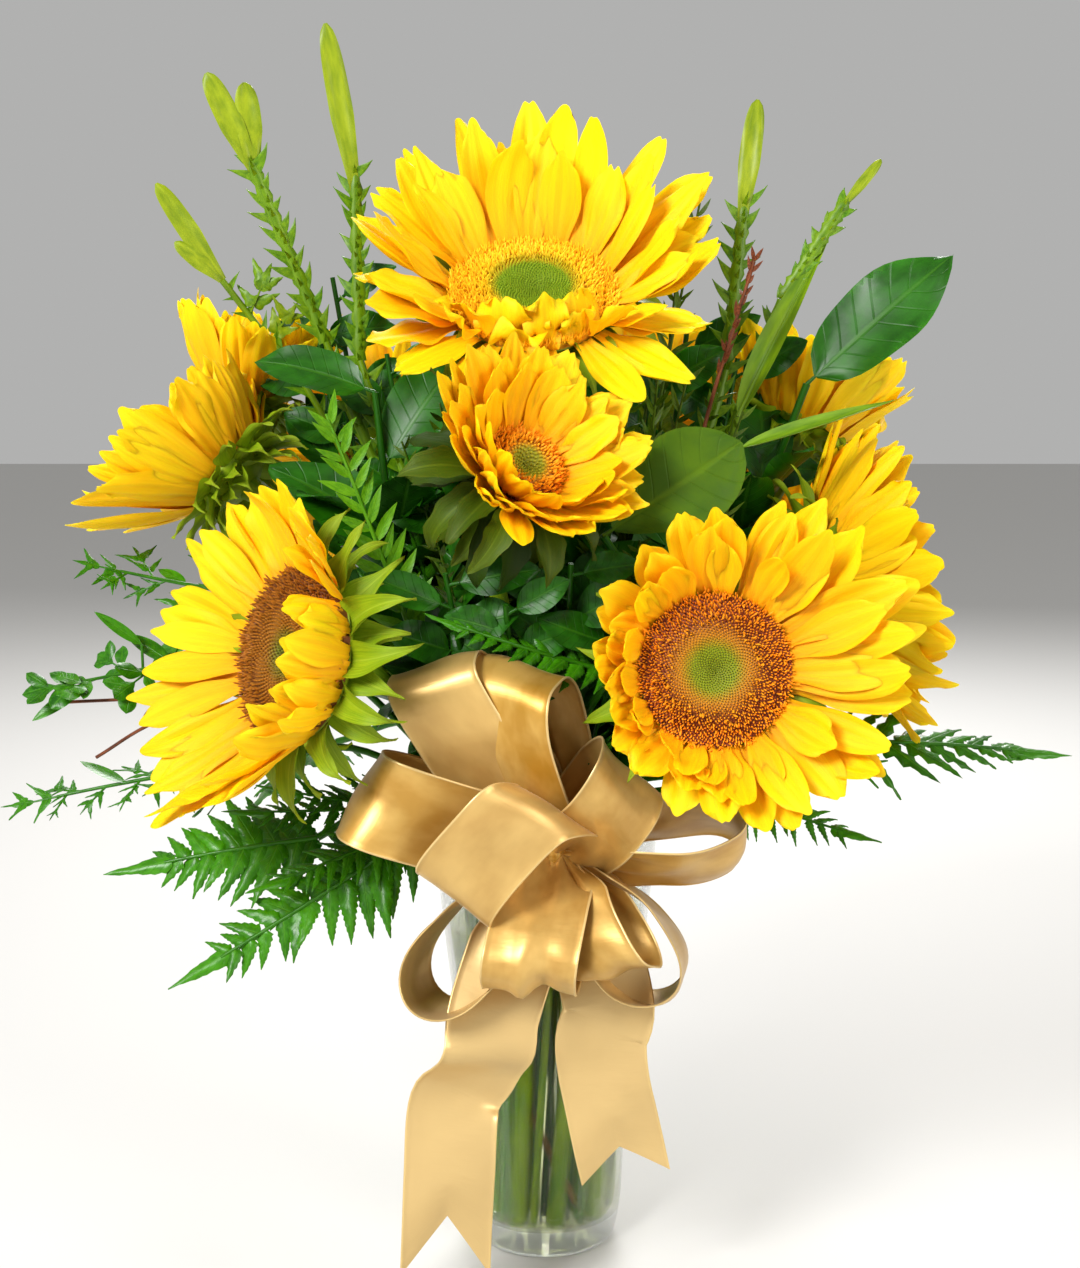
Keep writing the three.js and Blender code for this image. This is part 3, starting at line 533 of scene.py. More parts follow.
def ribbon_paint():
    """Gold satin: threads across the ribbon catch the light, and its two edges are hemmed. Its gold is
    mottled from deep to pale, partly as a painted sheen. tint is paler: at random on the loops, a painted
    highlight on the tails.
    """
    paint = Paint(
        "ribbon", Metallic=0.45, Roughness=0.4, Sheen_Weight=0.12, Sheen_Roughness=0.35, Coat_Weight=0.2,
        Coat_Roughness=0.3, Sheen_Tint=(1.0, 0.86, 0.62, 1),
    )
    marks = across, _, _ = paint.mark()
    threads = paint.noise(marks, (3, 260, 1), 1.0)
    # cloud: deep to pale gold at random, partly the satin's own tone and partly a painted sheen of crumpled
    # satin
    cloud = paint.noise(marks, (1, 5, 9), 1.5, 3)
    colour = paint.blend(paint.level(cloud, 0.35, 0.65), (0.46, 0.23, 0.018), (0.66, 0.4, 0.09))
    # tint: paler gold, at random on the loops and a painted highlight on the tails
    colour = paint.blend(paint.tint(), colour, (0.66, 0.47, 0.2))
    hem = paint.level(paint.sum("ABSOLUTE", across), 0.945, 0.965)
    colour = paint.blend(hem, colour, (0.7, 0.5, 0.2))
    crease = paint.noise(marks, (0.8, 22, 1), 1.3, 2)
    height = paint.plus(paint.times(threads, 0.2), paint.times(hem, 0.4))
    height = paint.plus(height, paint.times(crease, 1.6))
    return paint.finish(colour, height=height, bump=0.35)


def clear_paint(name, colour, ior, alpha):
    paint = Paint(name, Roughness=0.0, IOR=ior, Transmission_Weight=1.0, Alpha=alpha)
    return paint.finish((*colour, 1))


PETAL = petal_paint()
DISC = {
    "warm": disc_paint(
        "disc_warm", (0.2, 0.31, 0.002), (0.95, 0.62, 0.006), (1.0, 0.58, 0.003), 0.1, (0.75, 0.3, 0.0), 0.42,
        0.8,
    ),
    "dotted": disc_paint(
        "disc_dotted", (0.34, 0.4, 0.002), (0.8, 0.36, 0.001), (1.0, 0.37, 0.001), 0.08,
        green=0.26, shade=0.55,
    ),
    "brown": disc_paint(
        "disc_brown", (0.16, 0.17, 0.001), (0.42, 0.16, 0.0), (0.4, 0.13, 0.0), 0.2, (0.16, 0.04, 0.0), 0.18
    ),
    "orange": disc_paint(
        "disc_orange", (0.3, 0.3, 0.003), (0.9, 0.42, 0.003), (0.95, 0.4, 0.001), 0.08, shade=0.8
    ),
}
CALYX = bract_paint()
STEM = stem_paint("flower_stem", (0.08, 0.2, 0.001), (0.27, 0.38, 0.003))
TWIG = stem_paint("twig", (0.07, 0.014, 0.002), (0.2, 0.045, 0.006))
LEMON_LEAF = leaf_paint(
    "lemon_leaf", (0.005, 0.045, 0.0), (0.018, 0.13, 0.001), (0.04, 0.16, 0.004), 0.4, 0.09, 0.05
)
FERN = leaf_paint("fern", (0.01, 0.085, 0.0), (0.045, 0.22, 0.001), (0.07, 0.25, 0.005), 0.34, 0.18)
ROUND_LEAF = leaf_paint(
    "round_leaf", (0.035, 0.09, 0.0), (0.07, 0.14, 0.0), (0.09, 0.17, 0.001), 0.7, 0.0, 0.0
)
SPRIG = leaf_paint("sprig", (0.035, 0.17, 0.001), (0.13, 0.34, 0.003), (0.12, 0.33, 0.004), 0.4, 0.15, 0.0)
MYRTLE = leaf_paint("myrtle", (0.02, 0.055, 0.001), (0.09, 0.16, 0.002), (0.1, 0.18, 0.01), 0.42, 0.15)
SPIKE = spike_paint()
RIBBON = ribbon_paint()
GLASS = clear_paint("glass", (0.95, 0.98, 0.96), 1.48, 0.45)
WATER = clear_paint("water", (0.62, 0.7, 0.16), 1.33, 0.5)
BROWN_STEM = stem_paint("brown_stem", (0.14, 0.06, 0.01), (0.3, 0.15, 0.03))


# ---------------------------------------------------------------- vase, water and where the stems stand

VASE_OUTLINE = [
    (29, 0), (31.4, 1.2), (32.8, 4.5), (34.2, 12), (35.2, 20), (35.8, 32), (36.2, 45), (37.1, 62), (38.5, 80),
    (40.5, 100), (42.8, 120), (45.9, 145), (48.6, 170), (50.5, 190), (52, 198),
]
VASE_SIDES = 128
VASE_HEIGHT = 200
VASE_FLOOR = 12
GLASS_WALL = 3
WATER_LEVEL = 150
STEM_FOOT = VASE_FLOOR + 2
RIM_RING, FOOT_RING, STEM_TWIST = 37, 23, 22


def wall_radius(height):
    radii, levels = zip(*VASE_OUTLINE)
    return np.interp(height, levels, radii) - GLASS_WALL


def inner_profile(top, grow=0.0):
    rounded = [(wall_radius(24) - 7, VASE_FLOOR), (wall_radius(24) - 4, 12.3), (wall_radius(24) - 2, 13.2)]
    rounded.append((wall_radius(24) - 0.9, 15.5))
    walls = [(wall_radius(level) + grow, level) for level in [20, *np.arange(30, top, 10), top]]
    return [(0, VASE_FLOOR - grow), (14, VASE_FLOOR - grow), *rounded, *walls]


def make_vase():
    lip = [(51.8, 199.2), (51.0, 200), (50.0, 200), (49.2, 199)]
    under = [(0, 1.4), (18, 1.2), (26, 0.1)]
    inside = inner_profile(196)
    solids = Solids()
    lathe(solids, [*under, *VASE_OUTLINE, *lip, *inside[::-1]], VASE_SIDES)
    return piece("vase_glass", solids, GLASS, "glass", "vase")


def make_water():
    walls = inner_profile(WATER_LEVEL, 0.15)
    solids = Solids()
    radius = wall_radius(WATER_LEVEL)
    dip = WATER_LEVEL - 1.2  # the surface, below the rim that it climbs on the glass
    lathe(solids, [*walls, (radius - 0.8, WATER_LEVEL - 0.9), (radius - 3, dip), (0, dip)], VASE_SIDES)
    return piece("vase_water", solids, WATER, "water", "water")


def stem_points(slot, onward):
    """Straight from the floor of the vase to the rim, then on through the points given."""
    degrees, share = slot
    foot = polar(math.radians(degrees - STEM_TWIST), FOOT_RING * share, STEM_FOOT)
    rim = polar(math.radians(degrees), RIM_RING * share, VASE_HEIGHT)
    within = [mix(foot, rim, part) for part in (0, 0.26, 0.53, 0.79, 1)]
    return within + [np.asarray(point, float) for point in onward]


# ---------------------------------------------------------------- sunflowers

# slot: the stem's place, as on the solid. petal and half: a petal's length and half width. rise: the petals'
# angle from the disc's plane, far from the low side and at it. low: where that side is, in degrees round the
# disc from its top, and focus: how sharply it is set off. reach: how long the petals are there, as a share.
# whorls: for each ring of petals, their number, length, extra rise and how far in they grow. curl: their
# bend; droop and tuck: the bend that the outer and the inner petals lose and gain at the low side; fold: how
# much more the inner ones rise there. wild: how unlike each other they are. hang: how much longer they are
# at the bottom. notch: how deeply some tips are cut. lemon: 0 orange, 1 lemon. disc: its paint. florets: how
# many buds and florets, and fuzz: the long anthers, as a share of that. bract: the green bracts' size.
PLAIN_BLOOM = dict(
    low=180, focus=1.5, reach=1, droop=0, tuck=6, fold=0, wild=1, hang=0, notch=0.1, fuzz=0.4, bract=1,
)
BACK_WHORLS = [(20, 1.0, -6, 0), (20, 0.88, 4, 1.2), (12, 0.66, 16, 2.4)]
BLOOMS = {
    "top": dict(
        slot=(250, 0.36), petal=61, half=9.6, rise=(48, 2), reach=0.66, curl=(4, 6), droop=8, tuck=0, fold=84,
        notch=0.3, lemon=0.75, disc="warm", florets=2400, fuzz=1.4,
        whorls=[(19, 1.0, -12, 0), (20, 0.94, -2, 0.6), (18, 0.8, 6, 1.2)],
    ),
    "centre": dict(
        slot=(262, 1), petal=40, half=8, rise=(44, 50), curl=(6, 8), tuck=14, wild=0.55, notch=0.2,
        lemon=0.36, disc="orange", florets=360, fuzz=1.4, bract=1.8,
        whorls=[(19, 1.0, -12, 0), (19, 0.96, -3, 0.8), (16, 0.8, 7, 1.6)],
    ),
    "lower_left": dict(
        slot=(222, 1), petal=54, half=7.6, rise=(15, 84), low=98, reach=0.6, curl=(4, 8), droop=-22, tuck=20,
        hang=0.17, notch=0, lemon=0.38, disc="brown", florets=1700, fuzz=0.2,
        whorls=[(23, 1.0, -7, 0), (23, 0.93, 3, 1.0)],
    ),
    "left": dict(
        slot=(182, 1), petal=57, half=8.8, rise=(44, 44), low=340, focus=1, reach=0.7, curl=(8, 8), wild=0.7,
        lemon=0.45, disc="warm", florets=200,
        whorls=[(18, 1.0, -4, 0), (18, 0.93, 5, 1.2), (14, 0.75, 13, 2.4)],
    ),
    "upper_left": dict(
        slot=(150, 0.36), petal=53, half=8.0, rise=(80, 34), low=330, focus=3, reach=0.95, curl=(2, 4),
        wild=0.6, lemon=0.5, disc="warm", florets=200,
        whorls=[(13, 1.0, -4, 0), (13, 0.9, 3, 1.2), (8, 0.7, 9, 2.4)],
    ),
    "lower_right": dict(
        slot=(302, 1), petal=57, half=8.6, rise=(12, 54), low=262, focus=0.8, reach=0.46, curl=(2, 8),
        droop=6, tuck=14, notch=0.15, lemon=0.14, disc="dotted", florets=2300, fuzz=0.15,
        whorls=[(22, 1.0, -6, 0), (21, 0.92, 4, 0.6), (15, 0.76, 11, 1.2)],
    ),
    "right": dict(
        slot=(345, 1), petal=52, half=10, rise=(40, 44), curl=(6, 6), wild=0.7, lemon=0.45, disc="dotted",
        florets=300, whorls=[(30, 1.0, -8, 0), (30, 0.94, 1, 1.2), (28, 0.86, 9, 2.4), (24, 0.74, 17, 3.4)],
    ),
    # upper_right: lemon 1.0 is partly painted light, its petals that face away from the lamps painted as pale
    # as lit ones
    "upper_right": dict(
        slot=(30, 0.36), petal=47, half=8.8, rise=(46, 48), curl=(4, 8), notch=0.15, lemon=1.0, disc="warm",
        florets=200, whorls=[(16, 1.0, -6, 0), (16, 0.9, 4, 1.2), (10, 0.7, 12, 2.4)],
    ),
    "back_left": dict(
        slot=(124, 1), petal=50, half=7.2, rise=(28, 24), curl=(2, 8), droop=6, tuck=10, lemon=0.35,
        disc="dotted", florets=1300, fuzz=0.3, whorls=BACK_WHORLS,
    ),
    "back": dict(
        slot=(78, 1), petal=50, half=7.6, rise=(28, 24), curl=(2, 8), droop=10, tuck=10, notch=0.3, lemon=0.5,
        disc="warm", florets=1000, fuzz=1.4, whorls=BACK_WHORLS,
    ),
    "back_right": dict(
        slot=(35, 1), petal=46, half=7.0, rise=(26, 24), curl=(2, 8), droop=6, tuck=10, lemon=0.3,
        disc="brown", florets=1100, fuzz=0.2, whorls=[(19, 1.0, -6, 0), (19, 0.88, 4, 1.2), BACK_WHORLS[2]],
    ),
}
DISC_UNDERSIDE = 2.9  # below the plane that heights are counted from
DISC_SPARE = 2.4  # from the solid disc's rim to the petals' feet
HEAD_DEPTH = 13  # from that plane to where the stem meets the green cup
GOLDEN_ANGLE = math.pi * (3 - math.sqrt(5))
HEART = np.array([0, 0, 250])  # every bloom faces away from here
STEM_STEPS = 40
HAIRS = 420  # fine hairs on the neck of each flower's stem
FOLD_FROM, FOLD_SPAN = 0.62, 0.3  # how near the low side the inner petals begin to fold, and by how much more


def disc_place(name):
    """Middle, radius and directions of a bloom's disc, from its solid."""
    points = np.array([vertex.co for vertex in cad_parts[name + "_disc"].data.vertices]) / MM
    middle = points.mean(0)
    out = np.linalg.svd(points - middle)[2][2]
    out = out * np.sign(out @ (middle - HEART))
    heights = (points - middle) @ out
    at = middle + out * (heights.min() + DISC_UNDERSIDE)
    radius = np.linalg.norm(points - middle - heights[:, None] * out, axis=1).max() + DISC_SPARE
    return at, radius, frame_of(out)


def dome(share):
    return 2.5 + 4.5 * np.sin(np.pi * np.minimum(1, share * 1.15) ** 1.3)


def ways_out(axes, angles):
    """The ways out from a disc's middle, at angles from its top."""
    return np.cos(angles)[:, None] * axes[1] + np.sin(angles)[:, None] * axes[2]


def risen(axes, angle, rise):
    """The way out at angle, then the way and the upper side of a blade that rises by rise there."""
    out, up, side = axes
    outward = math.cos(angle) * up + math.sin(angle) * side
    way = outward * math.cos(rise) + out * math.sin(rise)
    return outward, way, out * math.cos(rise) - outward * math.sin(rise)


def make_disc(name, look, at, radius, axes, draw):
    """A spiral of florets on a low dome, buds in the middle and open ones with long anthers round them."""
    out = axes[0]
    solids = Solids()
    shares = np.linspace(0, 1, 12)
    rim = [((radius - 1.5) * share, dome(share) - 1.2) for share in shares[1:]]
    lathe(solids, [(0, dome(0) - 1.2), *rim, (radius - 2, -2.2), (0, -2.6)][::-1], 40, at, axes)
    bare = solids.points[-1] - at
    solids.tints[-1] = np.linalg.norm(bare - np.outer(bare @ out, out), axis=1) / radius
    # along 0 on the bare plate gives it the darkest painted shade, between the florets
    solids.marks[-1] = solids.marks[-1] * [1, 0, 1]
    count = look["florets"]
    k = np.arange(count) + 0.5
    share = (k / count) ** 0.56
    spread = ways_out(axes, k * GOLDEN_ANGLE)
    base = at + spread * (share * (radius - 1))[:, None] + out * (dome(share) - 1.0)[:, None]
    draws = draw.random(count)
    ripe = np.clip((share - 0.46) / 0.2, 0, 1)
    lean = spread * (ripe * draw.normal(0.15, 0.2, count) + share * 0.25)[:, None]
    loose = 1 if look["disc"] == "warm" else 0.4
    way = out + lean + draw.normal(0, 0.3 * loose, (count, 3)) * mix(0.4, 1, ripe)[:, None]
    gap = radius * math.sqrt(math.pi / count)
    radii = gap * mix(0.32, 0.3, ripe) * mix(0.8, 1.05, share)
    heights = mix(1.4, 2.3, ripe) * mix(0.8, 1.2, draws)
    beads(solids, base, way, radii, heights, 5, share, draws, 0.85)
    some = int(count * look["fuzz"])
    share = np.sqrt(draw.uniform(0.26, 1.02, some))
    spread = ways_out(axes, draw.uniform(0, 2 * np.pi, some))
    base = at + spread * (share * (radius - 0.5))[:, None]
    base = base + out * (dome(np.minimum(share, 1)) - 0.5)[:, None]
    way = out + spread * draw.normal(0.25, 0.3, some)[:, None] + draw.normal(0, 0.25, (some, 3))
    heights = draw.uniform(2.2, 4.6, some) * mix(0.6, 1, share)
    beads(solids, base, way, 0.34, heights, 4, np.minimum(share, 1), draw.uniform(0.3, 1, some), 1.15)
    piece(name + "_florets", solids, DISC[look["disc"]], "disc", name + "_disc")


def make_petals(name, look, at, radius, axes, draw):
    """Ray petals in overlapping whorls, some with a notched tip."""
    solids = Solids()
    wild = look["wild"]
    low = math.radians(look["low"])
    for whorl, (count, reach, extra, inset) in enumerate(look["whorls"]):
        inner = whorl / (len(look["whorls"]) - 1)
        for i in range(count):
            angle = (i + 0.5 * whorl + draw.uniform(-0.3, 0.3)) / count * 2 * math.pi
            near = ((1 + math.cos(angle - low)) / 2) ** look["focus"]
            folds = look["fold"] > 0 and inner > 0
            folded = smooth((near - FOLD_FROM) / FOLD_SPAN) if folds else 0.0
            lift = look["fold"] * folded * mix(0.8, 1.15, inner)
            rise = math.radians(mix(*look["rise"], near) + lift + extra + draw.normal(0, 5 * wild))
            outward, way, face = risen(axes, angle, rise)
            root = at + outward * (radius - 0.8 - inset) + axes[0] * (0.9 * whorl - 1.2)
            lost = mix(look["droop"], -look["tuck"], inner) * near
            second = look["curl"][1] - lost + draw.normal(0, 13 * wild)
            notch = look["notch"] * draw.uniform(0, 2) * (draw.random() < 0.6)
            size = reach * (1 - look["hang"] * math.cos(angle)) * mix(1, look["reach"], near)
            size = size * mix(1, draw.uniform(0.38, 0.66), folded)
            blade(
                solids, root, way, face, look["petal"] * size * draw.uniform(0.84, 1.08),
                look["half"] * mix(1, size, 0.3) * draw.uniform(0.8, 1.2) * mix(1, 1.35, folded),
                functools.partial(petal_outline, blunt=draw.uniform(1.5, 3.2)), rows=15, cols=11,
                bend=(look["curl"][0] + draw.normal(0, 9 * wild), second), sway=draw.normal(0, 9 * wild),
                twist=draw.normal(0, 13 * wild), cup=draw.uniform(0.0, 0.3), ridge=draw.uniform(0.04, 0.11),
                folds=draw.uniform(2.2, 3.2), ripple=draw.uniform(0.02, 0.2) + 0.3 * folded,
                waves=draw.uniform(0.8, 2.2), pull=(draw.uniform(0.3, 0.9), notch),
                tint=float(np.clip(look["lemon"] + draw.normal(0, 0.22), 0, 1)), mark=draw.random(),
            )
    piece(name + "_ray_petals", solids, PETAL, "petal", name + "_petals")


def make_calyx(name, look, at, radius, axes, draw):
    """The green cup, its pointed bracts and the stem down to the floor of the vase."""
    out = axes[0]
    scale = look["bract"]
    leafy = scale > 1
    solids = Solids()
    cup = [(0, -HEAD_DEPTH), (5, 0.6 - HEAD_DEPTH), (radius * 0.42, -11.4), (radius * 0.7, -8.6)]
    rim = [(radius * 0.88, -5.4), (radius - 1.6, -2.6), (radius - 2.4, -1.6), (0, -1.2)]
    lathe(solids, cup + rim, 32, at, axes)
    rows = [(13, 1.0, 0.9, 4), (13, 0.92, 0.76, -16), (11, 0.8, 0.58, -34)]
    if leafy:
        rows = [(12, 1.0, 0.9, 8), (12, 1.05, 0.7, -24), (11, 1.1, 0.5, -48), (9, 1.2, 0.4, -68)]
    outline = leafy_outline if leafy else bract_outline
    for whorl, (count, size, start, pitch) in enumerate(rows):
        for i in range(count):
            angle = (i + 0.5 * whorl + draw.uniform(-0.2, 0.2)) / count * 2 * math.pi
            outward, way, face = risen(axes, angle, math.radians(pitch + draw.normal(0, 9)))
            root = at + outward * radius * start - out * mix(4.2, 8.6, min(1, whorl / 2))
            blade(
                solids, root, way, face, (radius * 0.72 + 7) * size * scale * draw.uniform(0.85, 1.12),
                (radius * 0.1 + 2.6) * mix(1, scale, 0.7) * draw.uniform(0.85, 1.1), outline, rows=18, cols=7,
                bend=(draw.uniform(-6, 16), draw.uniform(-110, -20)), sway=draw.normal(0, 14),
                twist=draw.normal(0, 22), cup=draw.uniform(0.2, 0.6), ripple=0.2, waves=1.6, thick=0.7,
                tint=leafy * draw.uniform(0.72, 1), mark=draw.random(),
            )
    piece(name + "_bracts", solids, CALYX, "flower_green", name + "_stem")
    solids = Solids()
    behind = at - out * (HEAD_DEPTH + 22)
    rim = stem_points(look["slot"], [])[-1]
    bend = mix(rim, behind, 0.55) + np.array([0, 0, 8])
    path = curve(stem_points(look["slot"], [bend, behind, at - out * (HEAD_DEPTH - 2)]), STEM_STEPS)
    swell = 3.8 + 2.2 * np.clip(np.linspace(0, 1, len(path)) * 12 - 11, 0, 1) ** 2
    tube(solids, path, swell + 0.12 * np.sin(np.arange(len(path)) * 1.9), 12, mark=draw.random())
    spots = draw.integers(27, STEM_STEPS, HAIRS)
    aside = units(np.cross(path[spots] - path[spots - 1], draw.normal(0, 1, (HAIRS, 3))))
    foot = mix(path[spots - 1], path[spots], draw.random(HAIRS)[:, None])
    foot = foot + aside * (swell[spots, None] - 0.25)
    heights = draw.uniform(1.4, 2.6, HAIRS)
    beads(solids, foot, aside, 0.1, heights, 4, np.zeros(HAIRS), draw.random(HAIRS), 0.6)
    piece(name + "_flower_stem", solids, STEM, "flower_green", name + "_stem")


def make_bloom(seed, name, look):
    look = {**PLAIN_BLOOM, **look}
    draw = np.random.default_rng(seed)
    at, radius, axes = disc_place(name)
    make_disc(name, look, at, radius, axes, draw)
    make_petals(name, look, at, radius, axes, draw)
    make_calyx(name, look, at, radius, axes, draw)


# ---------------------------------------------------------------- ribbon bow

RIBBON_WIDTH = 38
WAIST = np.array([5.0, -80, 201])
TAIL_ROOT = (5, -75, 194)
KNOT = (9, 8, 11)
# Each loop: the middle of its far end, the way the ribbon's width lies there (aslant in some), how wide it
# gapes, how squarely its end is folded (1 round, less is squarer), and how deeply it is creased.
LOOPS = {
    "front": ((-24, -128, 212), (0.78, 0.12, -0.6), 29, 0.5, 0),
    "left": ((-74, -103, 231), (-0.46, -0.1, -0.88), 18, 0.6, 0),
    "upper_left": ((-45, -99, 281), (0.86, -0.2, 0.26), 16, 0.6, 0),
    "upper": ((-12, -105, 281), (0.9, -0.4, -0.14), 18, 0.65, 0),
    "upper_right": ((33, -109, 238), (0.62, 0.33, -0.72), 15, 0.7, 0),
    "right": ((80, -97, 211), (0.05, -0.8, 0.6), 13, 0.8, 0),
    "lower_left": ((-50, -93, 141), (-0.27, -0.96, 0.05), 20, 1, 0),
    "lower": ((-7, -121, 158), (0.98, -0.12, -0.08), 15, 0.65, 4.5),
    "lower_middle": ((27, -113, 160), (0.85, -0.45, 0.25), 13, 0.65, 1.5),
    "lower_right": ((52, -85, 142), (-0.1, -0.97, 0.15), 19, 1, 0),
}
# Each tail: the middles of the ribbon on its way down, the way its width lies at its root and at its end, and
# how deep its notch is.
TAILS = {
    "left": (
        [(-10, -80, 168), (-21, -94, 138), (-23, -98, 122), (-30, -92, 108), (-38, -89, 95), (-40, -92, 66),
         (-42, -92, 22)],
        (1, 0.12, 0.02), (1, 0.1, 0.03), 26,
    ),
    "right": (
        [(18, -78, 168), (26, -86, 138), (23, -88, 124), (24, -85, 108), (28, -82, 88), (34, -80, 60)],
        (0.3, -0.95, -0.1), (1, -0.05, 0.06), 14,
    ),
}
EDGE_COLUMNS = np.array([0.93, 0.955, 0.985, 1])
RIBBON_COLUMNS = np.concatenate([-EDGE_COLUMNS[::-1], np.linspace(-0.84, 0.84, 15), EDGE_COLUMNS])
RIBBON_ROWS = 64
CLOTH = 0.35
HEM = 0.8


def ribbon(name, grid, mark, paleness_and_painted_light):
    """A length of ribbon with a bead along either edge, from its grid of points."""
    rows = len(grid)
    thick = np.where(np.abs(RIBBON_COLUMNS) > 0.94, HEM, CLOTH)
    along = np.linspace(0, 1, rows)[:, None]
    marks = np.stack(np.broadcast_arrays(RIBBON_COLUMNS[None, :], along, mark), -1)
    solids = Solids()
    # paleness: random tone on the loops, a painted highlight on the tails
    lens(solids, grid, thick[None, :], marks, paleness_and_painted_light)
    made = piece("ribbon_" + name, solids, RIBBON, "ribbon", "ribbon_bow")


def make_loop(name, tip, width, gape, square, crease, draw):
    """A loop out from the waist and back, pleated where it is pinched there."""
    ahead = np.asarray(tip, float) - WAIST
    length = np.linalg.norm(ahead)
    ahead = ahead / length
    across = unit(width)
    away = unit(np.cross(ahead, across))
    angle = mix(0.05, 0.95, np.linspace(0, 1, 400)) * 2 * math.pi
    reach = (1 - np.cos(angle)) / 2
    gap = np.sign(np.sin(angle)) * np.abs(np.sin(angle)) ** square * reach**0.45 * gape * 1.15
    centre = spaced(WAIST + ahead * (reach * length)[:, None] + away * gap[:, None], RIBBON_ROWS - 1)
    rows = len(centre)
    reach = (centre - WAIST) @ ahead / length
    half = RIBBON_WIDTH / 2 * mix(0.34, 1, smooth(reach * 2.6))
    normal = units(np.cross(across, np.gradient(centre, axis=0)))
    normal = normal * np.sign(normal[rows // 2] @ ahead)
    u = RIBBON_COLUMNS
    v = np.linspace(0, 1, rows)[:, None]
    pinch = np.clip(1 - reach * 1.7, 0, 1)[:, None]
    wander = draw.uniform(0, 6, 3)
    fold = pinch * 2.6 * np.cos(2.5 * np.pi * u + wander[2]) + (1 - pinch) * draw.uniform(-1.2, 1.2) * u**2
    soft = np.sin(4 * v * math.pi + 2.2 * u + wander[0])
    soft = soft + 0.5 * np.sin(9 * v * math.pi - 3.1 * u + wander[1])
    tuck = crease * np.exp(-(((u + 0.15) / 0.2) ** 2)) - 0.8 * crease * np.exp(-(((u - 0.3) / 0.24) ** 2))
    lift = fold + soft * (1 - pinch) + tuck * smooth(v * 2 - 0.4) * smooth(reach * 2)[:, None]
    grid = centre[:, None] + across * (half[:, None] * u)[..., None] + normal[:, None] * lift[..., None]
    run = np.linalg.norm(np.diff(centre, axis=0), axis=1).sum()
    ribbon(name + "_loop", grid, draw.random(), draw.uniform(0, 0.5))


def make_tail(name, path, first, last, notch, draw):
    """A tail that hangs from the waist in soft waves, its end cut to a notch."""
    route = curve([TAIL_ROOT, *path], RIBBON_ROWS - 1)
    along = np.linspace(0, 1, RIBBON_ROWS)[:, None]
    heading = units(np.gradient(route, axis=0))
    across = mix(np.asarray(first, float), np.asarray(last, float), smooth(along * 2.6))
    across = units(across - (heading * across).sum(1)[:, None] * heading)
    normal = np.cross(across, heading)
    u = RIBBON_COLUMNS
    half = RIBBON_WIDTH / 2 * np.minimum(1, mix(0.3, 1, along * 5))
    pinch = np.clip(1 - along * 3.5, 0, 1)
    lift = 2.2 * pinch * np.cos(2.5 * np.pi * u)
    lift = lift + 1.6 * np.sin(4.4 * math.pi * along + 1.5 * u) * (1 - pinch)
    back = -notch * (1 - np.abs(u)) * np.clip(along * 4 - 3, 0, 1)
    grid = route[:, None] + across[:, None] * (half * u)[..., None] + normal[:, None] * lift[..., None]
    grid = grid + heading[:, None] * back[..., None]
    run = np.linalg.norm(np.diff(route, axis=0), axis=1).sum()
    # the tails are painted pale, 0.9: a painted highlight of satin that faces the lamps
    ribbon(name + "_tail", grid, draw.random(), 0.9)


def make_bow():
    draw = np.random.default_rng(7)
    for name, facts in LOOPS.items():
        make_loop(name, *facts, draw)
    for name, facts in TAILS.items():
        make_tail(name, *facts, draw)
    solids = Solids()
    shares = np.linspace(-1, 1, 25)
    profile = [(KNOT[0] * math.sqrt(1 - share**2), KNOT[2] * share) for share in shares]
    lathe(solids, profile, 48, WAIST)
    points = solids.points[-1] - WAIST
    pleat = 1 + 0.08 * np.sin(np.arctan2(points[:, 1], points[:, 0]) * 11 + points[:, 2] * 0.15)
    solids.points[-1] = WAIST + points * np.array([1, KNOT[1] / KNOT[0], 1]) * pleat[:, None]
    piece("ribbon_knot", solids, RIBBON, "ribbon", "ribbon_bow")


def make_pick():
    """The pick among the stems, up to just behind the bow's waist."""
    solids = Solids()
    head = WAIST + np.array([0, 11.35, 0])
    over = np.array([head[0], -53, VASE_HEIGHT + 5])
    tube(solids, curve(stem_points((279, 1), [over, head + [0, 5, 0], head]), 40), 1.7, 10)
    piece("bow_pick_wood", solids, STEM, "pick_wood", "bow_pick")


# ---------------------------------------------------------------- greens

